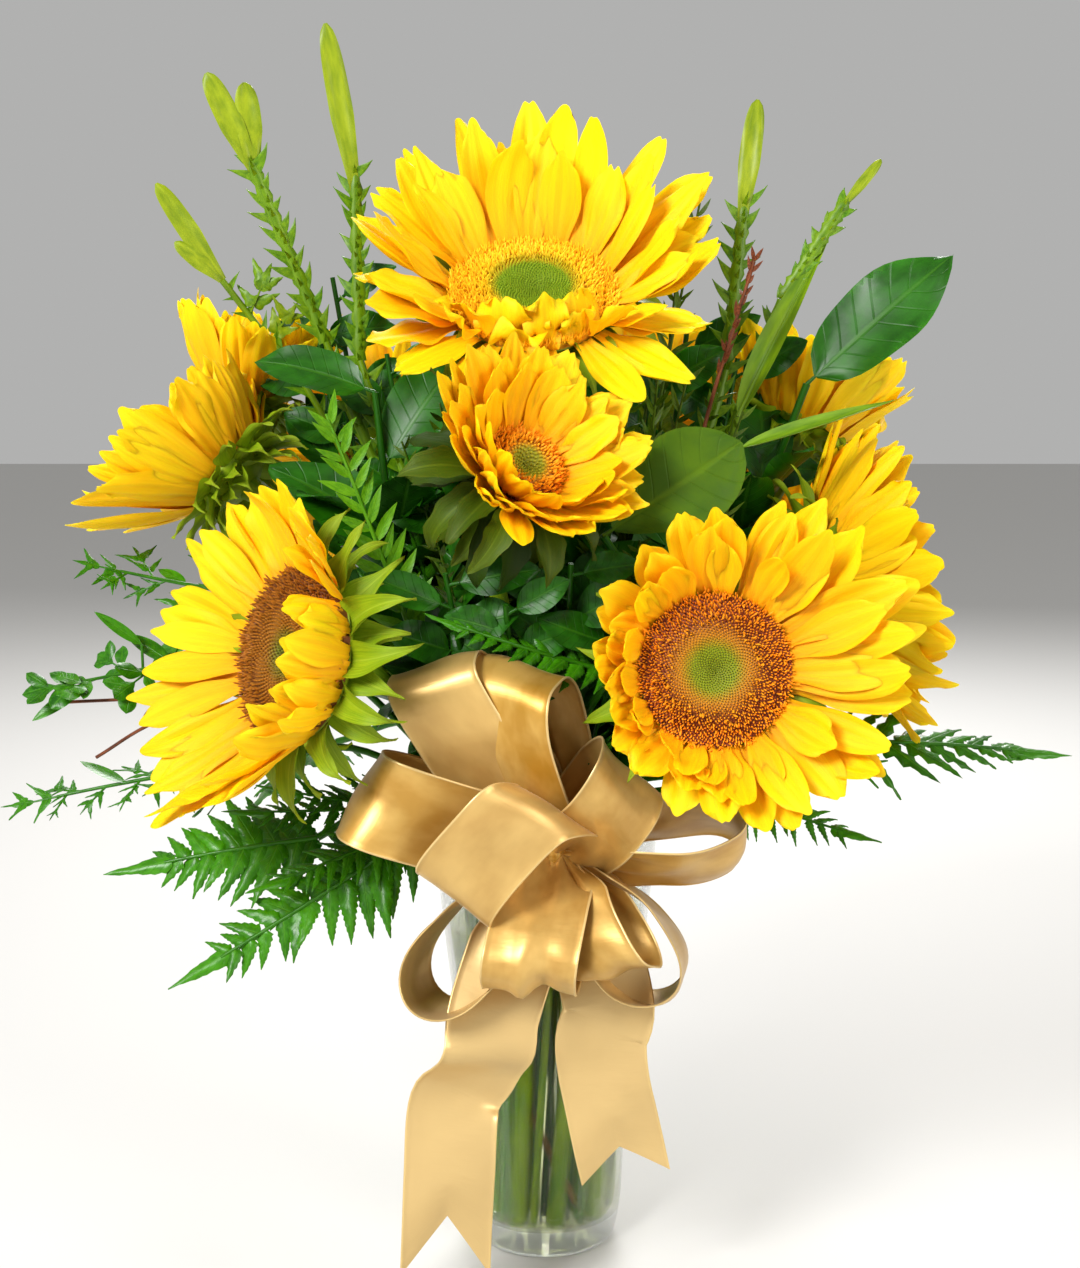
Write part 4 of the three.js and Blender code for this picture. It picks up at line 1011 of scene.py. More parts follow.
# Each leafy stem: its slot, the points it goes on through, and its leaves: how far up it, the way each goes,
# its upper side, its length and its width.
LEAF_STEMS = {
    "lemon_leaf_upper_right": (
        (22, 0.66), [(70, 12, 290), (98, 4, 347), (114, -4, 391)],
        [(1, (0.72, -0.1, 0.68), (-0.3, -0.85, 0.45), 82, 38),
         (0.86, (0.1, 0.5, 0.9), (0.3, -0.9, 0.2), 62, 28),
         (0.74, (0.5, -0.5, 0.6), (0, -0.7, 0.7), 60, 28)],
    ),
    "lemon_leaf_right": (
        (322, 0.66), [(44, -40, 262), (38, -62, 306), (23, -80, 332)],
        [(1, (0.84, -0.02, 0.55), (0, -0.88, 0.45), 66, 40), (0.86, (0.3, 0.1, 0.9), (0, -0.9, 0.3), 60, 30),
         (0.74, (0.8, -0.3, 0.3), (0, -0.5, 0.85), 56, 28)],
    ),
    "lemon_leaf_left": (
        (208, 0.66), [(-52, -20, 275), (-66, -28, 335), (-72, -30, 388)],
        [(1, (-0.93, 0.1, 0.34), (0.2, -0.8, 0.5), 54, 24),
         (0.84, (-0.75, -0.1, 0.55), (0.1, -0.8, 0.5), 62, 30),
         (0.92, (0.5, 0.1, 0.8), (-0.2, -0.9, 0.3), 60, 30),
         (0.7, (-0.5, -0.5, 0.5), (0, -0.7, 0.6), 56, 28)],
    ),
    "lemon_leaf_front": (
        (290, 0.66), [(14, -44, 250), (6, -58, 290), (-4, -64, 326)],
        [(1, (-0.6, -0.1, 0.75), (0.1, -0.95, 0.1), 62, 32),
         (0.82, (-0.8, -0.4, 0.35), (0, -0.7, 0.7), 60, 30),
         (0.7, (0.7, -0.5, 0.1), (0, -0.6, 0.8), 56, 28), (0.9, (0.7, -0.2, 0.6), (0, -0.8, 0.5), 52, 28)],
    ),
    "lemon_leaf_back": (
        (95, 0.66), [(-8, 48, 280), (-10, 66, 345), (-14, 72, 400)],
        [(1, (-0.3, 0.3, 0.9), (0, 0.9, -0.3), 74, 32), (0.85, (0.7, 0.5, 0.5), (0, 0.7, 0.7), 66, 30),
         (0.72, (-0.7, 0.6, 0.3), (0, 0.6, 0.8), 60, 30), (0.6, (0.3, 0.9, -0.1), (0, 0.2, 0.95), 56, 28)],
    ),
}
LEAFY_STEPS = 60
INNER_LEAVES = 13  # more leaves on each leafy stem, short ones that fill the bunch's middle
ROUND_FROM = 38  # a leaf wider than this is a round one


def lemon_leaf(solids, root, way, face, length, width, draw, outline=oval_outline):
    """One glossy leaf on a short stalk."""
    way, face = unit(way), unit(face)
    stalk = root + way * 5
    tube(solids, [root, root + way * 2.5, stalk], [1.0, 0.8, 0.7], 6, tint=0.4)
    blade(
        solids, stalk, way, face, length - 4, width / 2, outline, rows=17, cols=9,
        bend=(-4, draw.uniform(-26, -4)), sway=draw.normal(0, 8), twist=draw.normal(0, 10),
        cup=draw.uniform(0.08, 0.3), ripple=draw.uniform(0.05, 0.18), waves=draw.uniform(1.2, 2), thick=0.6,
        tint=draw.uniform(0, 0.7), mark=draw.random(),
    )


def make_leaf_stem(seed, name, slot, path, leaves):
    draw = np.random.default_rng(seed)
    solids = Solids()
    line = curve(stem_points(slot, path), LEAFY_STEPS)
    tube(solids, line, 1.7, 8, tint=0.2)
    for share, way, face, length, width in leaves:
        root = line[round(share * LEAFY_STEPS)]
        if width > ROUND_FROM:
            alone = Solids()
            lemon_leaf(alone, root, way, face, length, width, draw, spoon_outline)
            piece(name + "_round_leaf", alone, ROUND_LEAF, "lemon_leaf", name)
        else:
            lemon_leaf(solids, root, way, face, length, width, draw)
    lean = unit(np.asarray(path[-1], float) - [0, 0, 200])
    for i in range(INNER_LEAVES):
        around = i * GOLDEN_ANGLE + draw.uniform(-0.3, 0.3)
        level = polar(around, 1, 0)
        way = level + [0, 0, draw.uniform(0.1, 0.9)] + lean * 0.3
        face = np.array([0, 0, 1.0]) - level * 0.4
        root = line[round(draw.uniform(0.52, 0.86) * LEAFY_STEPS)]
        lemon_leaf(solids, root, way, face, draw.uniform(38, 56), draw.uniform(20, 28), draw)
    piece(name + "_leaves", solids, LEMON_LEAF, "lemon_leaf", name)


FROND_STEPS = 40
# Each frond: its stem's slot and points, its rib's way, upper side (normal), length and bend in degrees, its
# kind, and its leaflets' length (wide) and number of pairs. strap: the share of a spike's rib that its smooth
# straps take. tips: half of each strap's width, its slant, and its length where it isn't that share.
FRONDS = {
    "fern_lower_left": dict(
        slot=(238, 1), path=[(-38, -54, 214), (-60, -62, 201)], way=(-0.83, -0.15, -0.53),
        normal=(-0.1, -0.8, 0.55), length=92, bend=6, kind="fern", wide=32, count=12,
    ),
    "fern_left": dict(
        slot=(207, 1), path=[(-66, -40, 214), (-100, -52, 200)], way=(-0.98, -0.1, -0.1),
        normal=(-0.1, -0.75, 0.6), length=66, bend=-10, kind="fern", wide=33, count=9,
    ),
    "fern_front": dict(
        slot=(272, 0.66), path=[(10, -52, 240), (24, -84, 278)], way=(-0.94, -0.2, 0.26),
        normal=(0, -0.6, 0.8), length=68, bend=8, kind="fern", wide=19, count=11,
    ),
    "fern_right": dict(
        slot=(328, 1), path=[(78, -32, 226), (122, -32, 238)], way=(0.99, -0.02, 0.02),
        normal=(0.1, -0.6, 0.8), length=84, bend=-10, kind="lobed", wide=34, count=8,
    ),
    "fern_back_left": dict(
        slot=(148, 1), path=[(-60, 62, 228), (-104, 84, 214)], way=(-0.6, 0.75, -0.3),
        normal=(-0.3, 0.4, 0.85), length=78, bend=-22, kind="fern", wide=28, count=9,
    ),
    "fern_back_right": dict(
        slot=(57, 1), path=[(46, 76, 232), (66, 118, 226)], way=(0.35, 0.85, -0.35),
        normal=(0, 0.4, 0.9), length=70, bend=-22, kind="fern", wide=28, count=8,
    ),
    "spray_left_low": dict(
        slot=(197, 1), path=[(-84, 0, 228), (-132, -12, 224)], way=(-0.97, -0.12, -0.1),
        normal=(0, -0.6, 0.8), length=88, bend=-8, kind="cut", wide=26, count=11,
    ),
    "spray_left_mid": dict(
        slot=(165, 1), path=[(-88, 12, 258), (-132, -2, 276)], way=(-0.95, -0.15, -0.24),
        normal=(0, -0.7, 0.7), length=76, bend=8, kind="spray", wide=28, count=7,
    ),
    "spray_left_high": dict(
        slot=(165, 0.66), path=[(-80, 12, 284), (-134, 2, 298)], way=(-0.98, -0.04, 0.16),
        normal=(0.1, -0.7, 0.6), length=58, bend=6, kind="cut", wide=22, count=7,
    ),
    "sprig_front_left": dict(
        slot=(247, 1), path=[(-38, -48, 240), (-54, -70, 288)], way=(-0.34, -0.02, 0.94),
        normal=(0.2, -1, 0.1), length=102, bend=-10, kind="sprig", wide=19, count=14,
    ),
    "spike_upper_left": dict(
        slot=(223, 0.66), path=[(-50, 0, 320), (-72, 8, 372), (-82, 12, 404)], way=(-0.02, 0.05, 1),
        normal=(0.15, -1, 0), length=148, bend=6, kind="spike", wide=11, count=14, strap=0.46,
        tips=((5.2, -9),),
    ),
    "spike_far_left": dict(
        slot=(194, 0.66), path=[(-66, 10, 330), (-88, 12, 384), (-98, 12, 412)], way=(-0.38, 0, 0.92),
        normal=(0.15, -1, 0), length=128, bend=10, kind="spike", wide=11, count=15, strap=0.32,
        tips=((5.4, -3), (5.6, 17, 33)),
    ),
    "spike_upper_right": dict(
        slot=(345, 0.66), path=[(52, 2, 320), (72, 4, 370), (80, 8, 400)], way=(0.1, 0.02, 1),
        normal=(-0.1, -1, 0), length=120, bend=-4, kind="spike", wide=12, count=11, strap=0.4,
    ),
    "spike_far_right": dict(
        slot=(5, 0.66), path=[(58, 10, 312), (88, 3, 386), (104, -2, 430)], way=(0.55, 0.02, 0.84),
        normal=(-0.1, -1, 0.1), length=74, bend=-8, kind="spike", wide=8, count=10, strap=0.3,
        tips=((2.4, 6),),
    ),
    "strap_leaf": dict(
        slot=(306, 0.66), path=[(50, -20, 300), (74, -18, 350), (84, -18, 380)], way=(0.44, 0.2, 0.9),
        normal=(-0.5, -0.85, 0.2), length=88, bend=-6, kind="strap", wide=4.8, count=0,
    ),
}


def rachis(root, way, normal, length, bend, steps):
    """Points and directions along a frond's curved rib: places, headings, sides and normals."""
    ahead = unit(way)
    normal = unit(np.asarray(normal, float) - np.asarray(normal, float) @ ahead * ahead)
    side = np.cross(ahead, normal)
    v = np.linspace(0, 1, steps + 1)
    pitch = np.radians(bend * v)[:, None]
    heading = np.cos(pitch) * ahead + np.sin(pitch) * normal
    normals = np.cos(pitch) * normal - np.sin(pitch) * ahead
    walked = np.cumsum((heading[1:] + heading[:-1]) / 2, axis=0)
    places = root + np.concatenate([np.zeros((1, 3)), walked]) * length / steps
    return places, heading, np.repeat(side[None], steps + 1, 0), normals


def branching(row, k, hand, slant, lift):
    """The way that a leaflet leaves a rib at its point k: to one hand, by slant, lifted off its plane."""
    _, heading, side, normal = row
    return heading[k] * math.cos(slant) + hand * side[k] * math.sin(slant) + normal[k] * lift


def fern_leaflets(solids, row, wide, count, draw, slim=0.225, lean=(72, 50), depth=0.26, tip=0.42, lobes=12):
    """Toothed leaflets in two rows along a fern's rib, shorter towards its tip, and one at its end."""
    places, heading, _, normal = row
    steps = len(places) - 1
    for i in range(count * 2):
        hand = 1 if i % 2 else -1
        share = (i // 2 + 0.3 + 0.35 * (i % 2)) / count
        k = min(steps, int(share * steps))
        swell = mix(0.8, 1, share / 0.2) if share < 0.2 else mix(1, 0.38, (share - 0.2) / 0.8)
        length = wide * swell * draw.uniform(0.9, 1.1)
        slant = math.radians(mix(*lean, share) + draw.normal(0, 4))
        way = branching(row, k, hand, slant, draw.uniform(-0.3, 0.15))
        teeth = max(4, round(lobes * swell))
        blade(
            solids, places[k], way, normal[k], length, length * mix(slim, slim * 1.4, share),
            functools.partial(fern_outline, teeth=teeth, depth=depth), rows=max(16, teeth * 3 + 1), cols=7,
            bend=(draw.uniform(-10, 8), draw.uniform(-34, -6)), sway=-hand * draw.uniform(0, 18), cup=-0.3,
            ridge=0.06, folds=1, ripple=0.08, waves=3, thick=0.5, tint=draw.uniform(0.1, 1.0),
            mark=draw.random(),
        )
    blade(
        solids, places[-3], heading[-1], normal[-1], wide * tip * 2.2, wide * tip * 0.4,
        functools.partial(fern_outline, teeth=6, depth=0.16), rows=19, cols=7, tint=0.9, cup=-0.4, ripple=0.1,
        waves=2, mark=draw.random(),
    )


def lobed_leaf(solids, root, way, face, size, draw, pairs=2, slim=0.2, pointed=False):
    """A small leaf cut into round or pointed lobes on a thin stalk."""
    ahead, face = unit(way), unit(face)
    face = unit(face - face @ ahead * ahead)
    side = np.cross(ahead, face)
    outline = functools.partial(fern_outline, teeth=3, depth=0.3) if pointed else spoon_outline
    tint = draw.uniform(0, 0.8)
    tube(solids, [root, root + ahead * size * 0.4, root + ahead * size * 0.75], [0.6, 0.5, 0.3], 5, tint=0.4)
    for k in range(pairs):
        for hand in (-1, 1):
            slant = math.radians(draw.uniform(38, 66))
            go = ahead * math.cos(slant) + hand * side * math.sin(slant) + face * draw.uniform(-0.3, 0.3)
            start = root + ahead * size * mix(0.22, 0.62, k / max(1, pairs - 1)) + draw.normal(0, 0.3, 3)
            length = size * draw.uniform(0.4, 0.62)
            blade(
                solids, start, go, face, length, length * slim * draw.uniform(1.2, 1.8), outline, rows=10,
                cols=5, bend=(draw.uniform(-20, 20), draw.uniform(-20, 10)), cup=draw.uniform(-0.3, 0.3),
                ripple=0.12, waves=1.5, thick=0.5, tint=tint, mark=draw.random(),
            )
    blade(
        solids, root + ahead * size * 0.5, ahead, face, size * 0.55, size * slim * 0.8, outline, rows=10,
        cols=5, bend=(draw.uniform(-20, 20), -10), cup=draw.uniform(-0.3, 0.3), ripple=0.12, waves=1.5,
        thick=0.5, tint=tint, mark=draw.random(),
    )


def spray_leaves(solids, row, size, count, draw, pointed, slim):
    """Lobed leaves, now and then a plain one, alternately along a thin wandering rib."""
    places, heading, _, normal = row
    steps = len(places) - 1
    for i in range(count):
        hand = 1 if i % 2 else -1
        k = min(steps, round((i + draw.uniform(0.1, 0.9)) / count * steps))
        slant = math.radians(draw.uniform(24, 58))
        way = branching(row, k, hand, slant, draw.uniform(-0.4, 0.4))
        face = normal[k] + draw.normal(0, 0.35, 3)
        reach = size * draw.uniform(0.7, 1.15) * mix(1.1, 0.7, i / count)
        if i % 4 == 3:
            blade(
                solids, places[k], way, face, reach * 0.9, reach * 0.15, oval_outline, rows=10, cols=5,
                cup=0.2, bend=(draw.uniform(-20, 20), 0), tint=draw.uniform(0, 0.8), mark=draw.random(),
            )
        else:
            lobed_leaf(solids, places[k], way, face, reach, draw, 2 + (i % 3 == 0), slim, pointed)
    lobed_leaf(solids, places[-2], heading[-1], normal[-1], size, draw, 2, slim, pointed)


def plain_leaflets(
    solids, row, wide, count, draw, slim, lean, outline, tint=(0.1, 0.9), unlike=0.15, rise=(-0.1, 0.3)
):
    """Leaflets in two rows along a rib."""
    places, _, _, normal = row
    steps = len(places) - 1
    for i in range(count * 2):
        hand = 1 if i % 2 else -1
        share = (i // 2 + 0.25 + 0.3 * (i % 2)) / count
        k = min(steps, int(share * steps))
        length = wide * mix(1.05, 0.72, share) * draw.uniform(1 - unlike, 1 + unlike)
        slant = math.radians(lean + draw.normal(0, 7))
        way = branching(row, k, hand, slant, draw.uniform(*rise))
        blade(
            solids, places[k], way, normal[k], length, length * slim, outline, rows=7, cols=5,
            bend=(draw.uniform(-10, 24), 0), sway=draw.normal(0, 8), twist=draw.normal(0, 16), cup=0.35,
            thick=0.45, tint=draw.uniform(*tint), mark=draw.random(),
        )


def flat_stem(solids, row, half, draw):
    """The flattened, faintly waved rib of a spike."""
    places, _, side, normal = row
    count = len(places)
    wave = half * (1 + 0.25 * np.sin(np.arange(count) * 2.1 + draw.uniform(0, 6)))
    wave = wave * np.minimum(1, (count - np.arange(count)) / 5 + 0.35)
    u = np.linspace(-1, 1, 5)
    across = side[:, None] * (wave[:, None] * u)[..., None]
    grid = places[:, None] + across + normal[:, None] * (0.5 * (1 - u**2))[:, None]
    marks = np.stack(np.broadcast_arrays(u[None, :], np.linspace(0, 1, count)[:, None], draw.random()), -1)
    lens(solids, grid, 1.7, marks, draw.uniform(0.15, 0.3))


TOOTH_PITCH = 4.6


def thorns(solids, row, wide, draw):
    """Pointed teeth along a spike's rib, widest where they leave it, and small scales up its middle."""
    places, heading, side, normal = row
    steps = len(places) - 1
    run = np.linalg.norm(np.diff(places, axis=0), axis=1).sum()
    for i in range(round(run / TOOTH_PITCH)):
        hand = 1 if i % 2 else -1
        k = min(steps, round((i + draw.uniform(0.2, 0.8)) * TOOTH_PITCH / run * steps))
        slant = math.radians(draw.uniform(42, 66))
        way = branching(row, k, hand, slant, draw.uniform(-0.2, 0.25))
        length = wide * draw.uniform(0.7, 1.25)
        blade(
            solids, places[k], way, normal[k], length, draw.uniform(2.5, 3.4), thorn_outline, rows=8, cols=5,
            bend=(draw.uniform(-15, 15), 0), sway=-hand * draw.uniform(0, 34), cup=0.2, thick=0.9,
            tint=draw.uniform(0, 0.3), mark=draw.random(),
        )
        aslant = heading[k] + normal[k] * 0.5 + side[k] * draw.uniform(-0.5, 0.5)
        blade(
            solids, places[k] + normal[k] * 0.4, aslant, normal[k], length * 0.55, 1.1, thorn_outline, rows=6,
            cols=5, bend=(30, 0), cup=0.3, thick=0.6, tint=draw.uniform(0.1, 0.6), mark=draw.random(),
        )


def along_line(line, normal):
    """A stretch of stem as a rib that leaflets can stand on."""
    ahead = units(np.gradient(line, axis=0))
    across = units(np.cross(ahead, unit(normal)))
    return line, ahead, across, np.cross(across, ahead)


def spike_straps(solids, rib, cut, reach, tips, draw):
    """The smooth straps at a spike's tip, from the rib's point cut on."""
    places, heading, side, normal = rib
    for half, slant, *own_reach in tips:
        slant = math.radians(slant)
        way = heading[cut] * math.cos(slant) + side[cut] * math.sin(slant)
        length = (own_reach[0] if own_reach else reach) + 4
        blade(
            solids, places[cut - 2], way, normal[cut], length, half, strap_outline, rows=24, cols=9,
            bend=(-4, 0), sway=draw.normal(0, 3), cup=0.12, ripple=0.14, waves=1.3, thick=1.4, tint=1.0,
            mark=draw.random(),
        )


GREY_GREEN, FRESH_GREEN = (SPIKE, "spike_green"), (FERN, "fern_green")
FROND_LOOKS = {"spike": GREY_GREEN, "strap": GREY_GREEN, "sprig": (SPRIG, "fern_green")}


def make_frond(
    seed, name, slot, path, way, normal, length, bend, kind, wide, count, strap=0.0, tips=((4.8, 0),)
):
    """One stem with its rib and what its kind bears along it."""
    draw = np.random.default_rng(seed)
    solids = Solids()
    root = np.asarray(path[-1], float) - unit(way) * 3
    line = curve(stem_points(slot, [*path[:-1], root]), FROND_STEPS)
    tube(solids, line, 1.7, 8, tint=0.3)
    rib = rachis(root, way, normal, length, bend, FROND_STEPS)
    upper_side = rib[3][0]
    cut = round(FROND_STEPS * (1 - strap))
    row = tuple(part[: cut + 1] for part in rib)
    if kind == "spike":
        flat_stem(solids, row, 2.9, draw)
    else:
        tube(solids, row[0], np.linspace(1.2, 0.7, cut + 1), 8, tint=0.3)
    if kind == "fern":
        fern_leaflets(solids, row, wide, count, draw)
    elif kind == "lobed":
        fern_leaflets(solids, row, wide, count, draw, slim=0.2, lean=(56, 34), depth=0.55, lobes=5)
    elif kind == "cut":
        spray_leaves(solids, row, wide, count, draw, True, 0.14)
    elif kind == "spray":
        spray_leaves(solids, row, wide, count, draw, False, 0.2)
    elif kind == "sprig":
        plain_leaflets(solids, row, wide, count, draw, 0.125, 42, lance_outline, (0.5, 1.0))
        below = along_line(line[24:], upper_side)
        plain_leaflets(solids, below, wide * 1.05, 9, draw, 0.125, 42, lance_outline, (0.2, 0.8))
    elif kind == "spike":
        below = along_line(line[22:], upper_side)
        thorns(solids, row, wide, draw)
        flat_stem(solids, below, 2.6, draw)
        thorns(solids, below, wide, draw)
        spike_straps(solids, rib, cut, length * strap, tips, draw)
    else:
        blade(
            solids, root, np.asarray(way), np.asarray(normal, float), length + 3, wide * 1.25, lance_outline,
            rows=20, cols=7, bend=(bend, 0), cup=0.6, thick=0.8, tint=0.35, mark=0.3,
        )
    material, slot_name = FROND_LOOKS.get(kind, FRESH_GREEN)
    piece(name + "_leaflets", solids, material, slot_name, name)


# ---------------------------------------------------------------- the foliage that fills the bunch

HEART_SIZE = np.array([84, 70, 84])  # half sizes of the leafy middle, round HEART_MIDDLE
HEART_MIDDLE = np.array([0, 6, 298])
FILLERS = 66
TWIG_STEPS = 24
# More ferns round the rim: where each one's stalk ends, the way it goes on, its length and its leaflets'.
RIM_FERNS = [
    ((-58, -40, 212), (-0.9, -0.3, -0.02), 66, 24), ((-56, -52, 206), (-0.8, -0.4, -0.3), 62, 24),
    ((-52, -56, 214), (-0.86, -0.3, 0.14), 58, 22), ((70, -34, 220), (0.85, -0.25, -0.3), 62, 24),
    ((66, -40, 226), (0.95, -0.2, 0.05), 66, 22), ((-30, 62, 218), (-0.2, 0.9, -0.2), 60, 26),
    ((62, 34, 222), (0.9, 0.4, -0.2), 60, 26), ((10, -62, 236), (0.5, -0.7, 0.3), 44, 18),
]
# Where fine upright sprigs end, between the blooms.
SPRIG_TIPS = [
    (36, -46, 392), (48, -38, 404), (60, -34, 396), (72, -38, 388), (84, -28, 380), (44, -60, 366),
    (64, -54, 362), (80, -46, 352), (-44, -44, 384), (-60, -44, 368), (-30, -70, 344), (-44, -78, 330),
    (24, -66, 344), (38, -78, 330), (-70, 20, 392), (-30, 30, 408), (10, 40, 412), (50, 34, 404),
    (84, 30, 380), (-90, 50, 350), (70, 72, 352), (-10, 84, 372), (-44, 66, 384), (66, -10, 468),
    (58, -4, 448),
]


def make_filler():
    """Leafy twigs and ferns from the rim out to a rounded heart of foliage, and more ferns round the rim."""
    draw = np.random.default_rng(500)
    leafy, ferny = Solids(), Solids()
    for i in range(FILLERS):
        height = mix(-0.25, 0.96, (i + 0.5) / FILLERS)
        around = i * GOLDEN_ANGLE
        outward = polar(around, math.sqrt(1 - height * height), height)
        target = HEART_MIDDLE + outward * HEART_SIZE * draw.uniform(0.7, 0.96)
        start = polar(around, 30, 203)
        middle = mix(start, target, 0.5) + [0, 0, 10]
        line = curve([start, middle, target], TWIG_STEPS)
        if i % 3:
            tube(leafy, line, 1.2, 6, tint=0.2, mark=draw.random())
            across = unit(np.cross(outward, [0.3, 0.2, 1.0]))
            for j in range(7):
                root = line[min(TWIG_STEPS, 9 + j * 3 - (j > 4))]
                way = turned(across, outward, draw.uniform(0, 360)) + outward * draw.uniform(0.3, 1.1)
                lemon_leaf(leafy, root, way, outward, draw.uniform(30, 44), draw.uniform(15, 23), draw)
        else:
            tube(ferny, line, 1.0, 6, tint=0.2, mark=draw.random())
            beyond = target + outward * 16 + [0, 0, 8]
            row = along_line(curve([line[6], target, beyond], TWIG_STEPS), unit(outward + [0, -0.4, 0.3]))
            tube(ferny, row[0], np.linspace(0.9, 0.4, TWIG_STEPS + 1), 6, tint=0.4)
            fern_leaflets(ferny, row, draw.uniform(18, 24), 8, draw, tip=0.2)
    for end, way, length, wide in RIM_FERNS:
        end = np.asarray(end, float)
        tube(ferny, curve([end * [0.55, 0.55, 1] - [0, 0, 8], end], 10), 1.2, 6, tint=0.3)
        row = rachis(end, way, (0, -0.6, 0.8), length, 8, TWIG_STEPS)
        tube(ferny, row[0], np.linspace(1.1, 0.5, TWIG_STEPS + 1), 6, tint=0.3)
        fern_leaflets(ferny, row, wide, 10, draw, slim=0.17, depth=0.34)
    piece("filler_leaves", leafy, LEMON_LEAF, "lemon_leaf")
    piece("filler_fern", ferny, FERN, "fern_green")


def make_sprigs():
    """Fine upright sprigs of narrow olive leaves."""
    draw = np.random.default_rng(600)
    solids = Solids()
    steps = 40
    for tip in SPRIG_TIPS:
        tip = np.asarray(tip, float)
        foot = tip * [0.45, 0.45, 0] + [0, 0, 232]
        line = curve([foot, mix(foot, tip, 0.5) + draw.normal(0, 3, 3), tip], steps)
        tube(solids, line, np.linspace(1.1, 0.5, steps + 1), 6, tint=0.3, mark=draw.random())
        row = along_line(line[8:], [draw.uniform(-0.5, 0.5), -1, 0.2])
        plain_leaflets(solids, row, 13, 17, draw, 0.1, 34, lance_outline, (0, 1), 0.3, (-0.5, 0.9))
    piece("fine_sprigs", solids, MYRTLE, "fern_green")
    make_red_twig(draw)


def make_red_twig(draw):
    """A reddish twig with small scales towards its tip."""
    solids = Solids()
    steps = 30
    line = curve([(52, -40, 300), (66, -42, 372), (78, -44, 415), (86, -44, 442)], steps)
    tube(solids, line, np.linspace(1.0, 0.7, steps + 1), 6)
    for k in range(20, steps + 1):
        for _ in range(3):
            way = unit(line[k] - line[k - 1]) + draw.normal(0, 0.35, 3)
            length = draw.uniform(5, 8)
            blade(
                solids, line[k], way, (0, -1, 0.1), length, 0.9, lance_outline, rows=5, cols=3,
                mark=draw.random(),
            )
    piece("red_twig", solids, TWIG, "pick_wood")


def make_odd_leaves():
    """A narrow pale leaf at the right, and a stem with two blunt straps beside the far left spike."""
    solids = Solids()
    line = curve([(48, -34, 318), (66, -48, 350), (80, -58, 366)], 16)
    tube(solids, line, 1.1, 6, tint=0.6)
    blade(
        solids, line[-1], (0.95, -0.05, 0.3), (-0.2, -0.6, 0.8), 66, 3.9, lance_outline, rows=18, cols=7,
        cup=0.5, tint=0.3,
    )
    line = curve([(-80, 14, 340), (-108, 14, 392), (-128, 14, 417), (-142, 10, 436)], 24)
    tube(solids, line, 1.6, 6, tint=0.4)
    for way, reach, half in (((-0.55, -0.03, 0.83), 50, 4.6), ((-0.75, -0.1, 0.62), 26, 3.6)):
        blade(
            solids, line[-1], way, (0.2, -1, 0.1), reach, half, strap_outline, rows=18, cols=7, cup=0.2,
            ripple=0.12, waves=1.2, thick=1.4, tint=1.0, mark=half / 9,
        )
    row = along_line(line, (0.2, -1, 0.1))
    plain_leaflets(solids, row, 12, 11, np.random.default_rng(5), 0.17, 50, thorn_outline, (0, 0.2), 0.3)
    for k, way, size, seed in ((-5, (0.42, -0.1, 0.9), 24, 8), (-8, (0.6, -0.1, 0.8), 20, 9)):
        lobed_leaf(solids, line[k], way, (0.1, -1, 0.1), size, np.random.default_rng(seed), 2, 0.24, True)
    piece("odd_leaves", solids, SPIKE, "spike_green")


def make_left_leaflets():
    """Two small leaves, each on a thin stalk, at the left."""
    solids = Solids()
    for foot, root, tip, half in (
        ((-178, -9, 264), (-178, -10, 277), (-198, -12, 292), 2.8),
        ((-200, -12, 259), (-206, -12, 257), (-226, -16, 244), 3.2),
    ):
        root, tip = np.asarray(root, float), np.asarray(tip, float)
        tube(solids, [foot, root], 0.7, 5, tint=0.4)
        blade(
            solids, root, tip - root, (0.1, -0.8, 0.6), np.linalg.norm(tip - root), half, oval_outline,
            rows=12, cols=7, cup=0.2, tint=1.0, mark=half / 9,
        )
    piece("left_leaflets", solids, FERN, "fern_green")


def make_bare_twigs():
    """Two thin twigs at the left, and the brown stem across the bundle in the water."""
    solids = Solids()
    tube(solids, curve([(-132, -6, 262), (-172, -10, 254), (-212, -14, 252)], 16), 0.8, 5)
    tube(solids, curve([(-132, -10, 250), (-170, -16, 244), (-198, -18, 228)], 16), 0.8, 5)
    piece("left_twigs", solids, TWIG, "pick_wood")
    solids = Solids()
    tube(solids, curve([(15, -17, 17), (-4, -22, 62), (-21, -17, 108), (-30, -10, 196)], 24), 1.7, 8)
    piece("brown_stem", solids, BROWN_STEM, "flower_green")


# Where dark leafy twigs end, before the centre bloom's stem and between the top bloom and its neighbours.
# Their dark leaves fill places that are only shade: partly foliage, partly a stand-in for painted shade.
COVER_TIPS = [
    (-40, -92, 318), (-16, -96, 306), (10, -92, 322), (30, -88, 300), (-104, 26, 420), (-92, 20, 392),
    (-96, 34, 438), (-70, 10, 404), (64, 30, 414), (86, 20, 402), (48, 10, 396), (100, 34, 392),
]


def make_front_leaves():
    """Twigs with dark leaves to both sides, in the front."""
    draw = np.random.default_rng(7)
    solids = Solids()
    steps = 20
    for tip in COVER_TIPS:
        tip = np.asarray(tip, float)
        foot = tip * [0.5, 0.5, 0] + [0, 0, 226]
        middle = tip * [0.8, 0.8, 0] + [0, 0, mix(226, tip[2], 0.5)]
        line = curve([foot, middle, tip], steps)
        tube(solids, line, 1.2, 6, tint=0.2)
        for k in range(7, steps + 1, 2):
            way = np.array([1.0 if k % 4 > 1 else -1.0, draw.uniform(-0.5, 0.1), draw.uniform(0.1, 0.9)])
            face = (draw.uniform(-0.3, 0.3), -1, 0.4)
            lemon_leaf(solids, line[k], way, face, draw.uniform(26, 38), draw.uniform(13, 19), draw)
    piece("front_leaves", solids, LEMON_LEAF, "lemon_leaf")


# ---------------------------------------------------------------- stage


FLOOR_REACH = 6.0
CAMERA_PLACE = (-2.3, -875, 408)
CAMERA_LENS = 56.3
CAMERA_TILT = 81.7


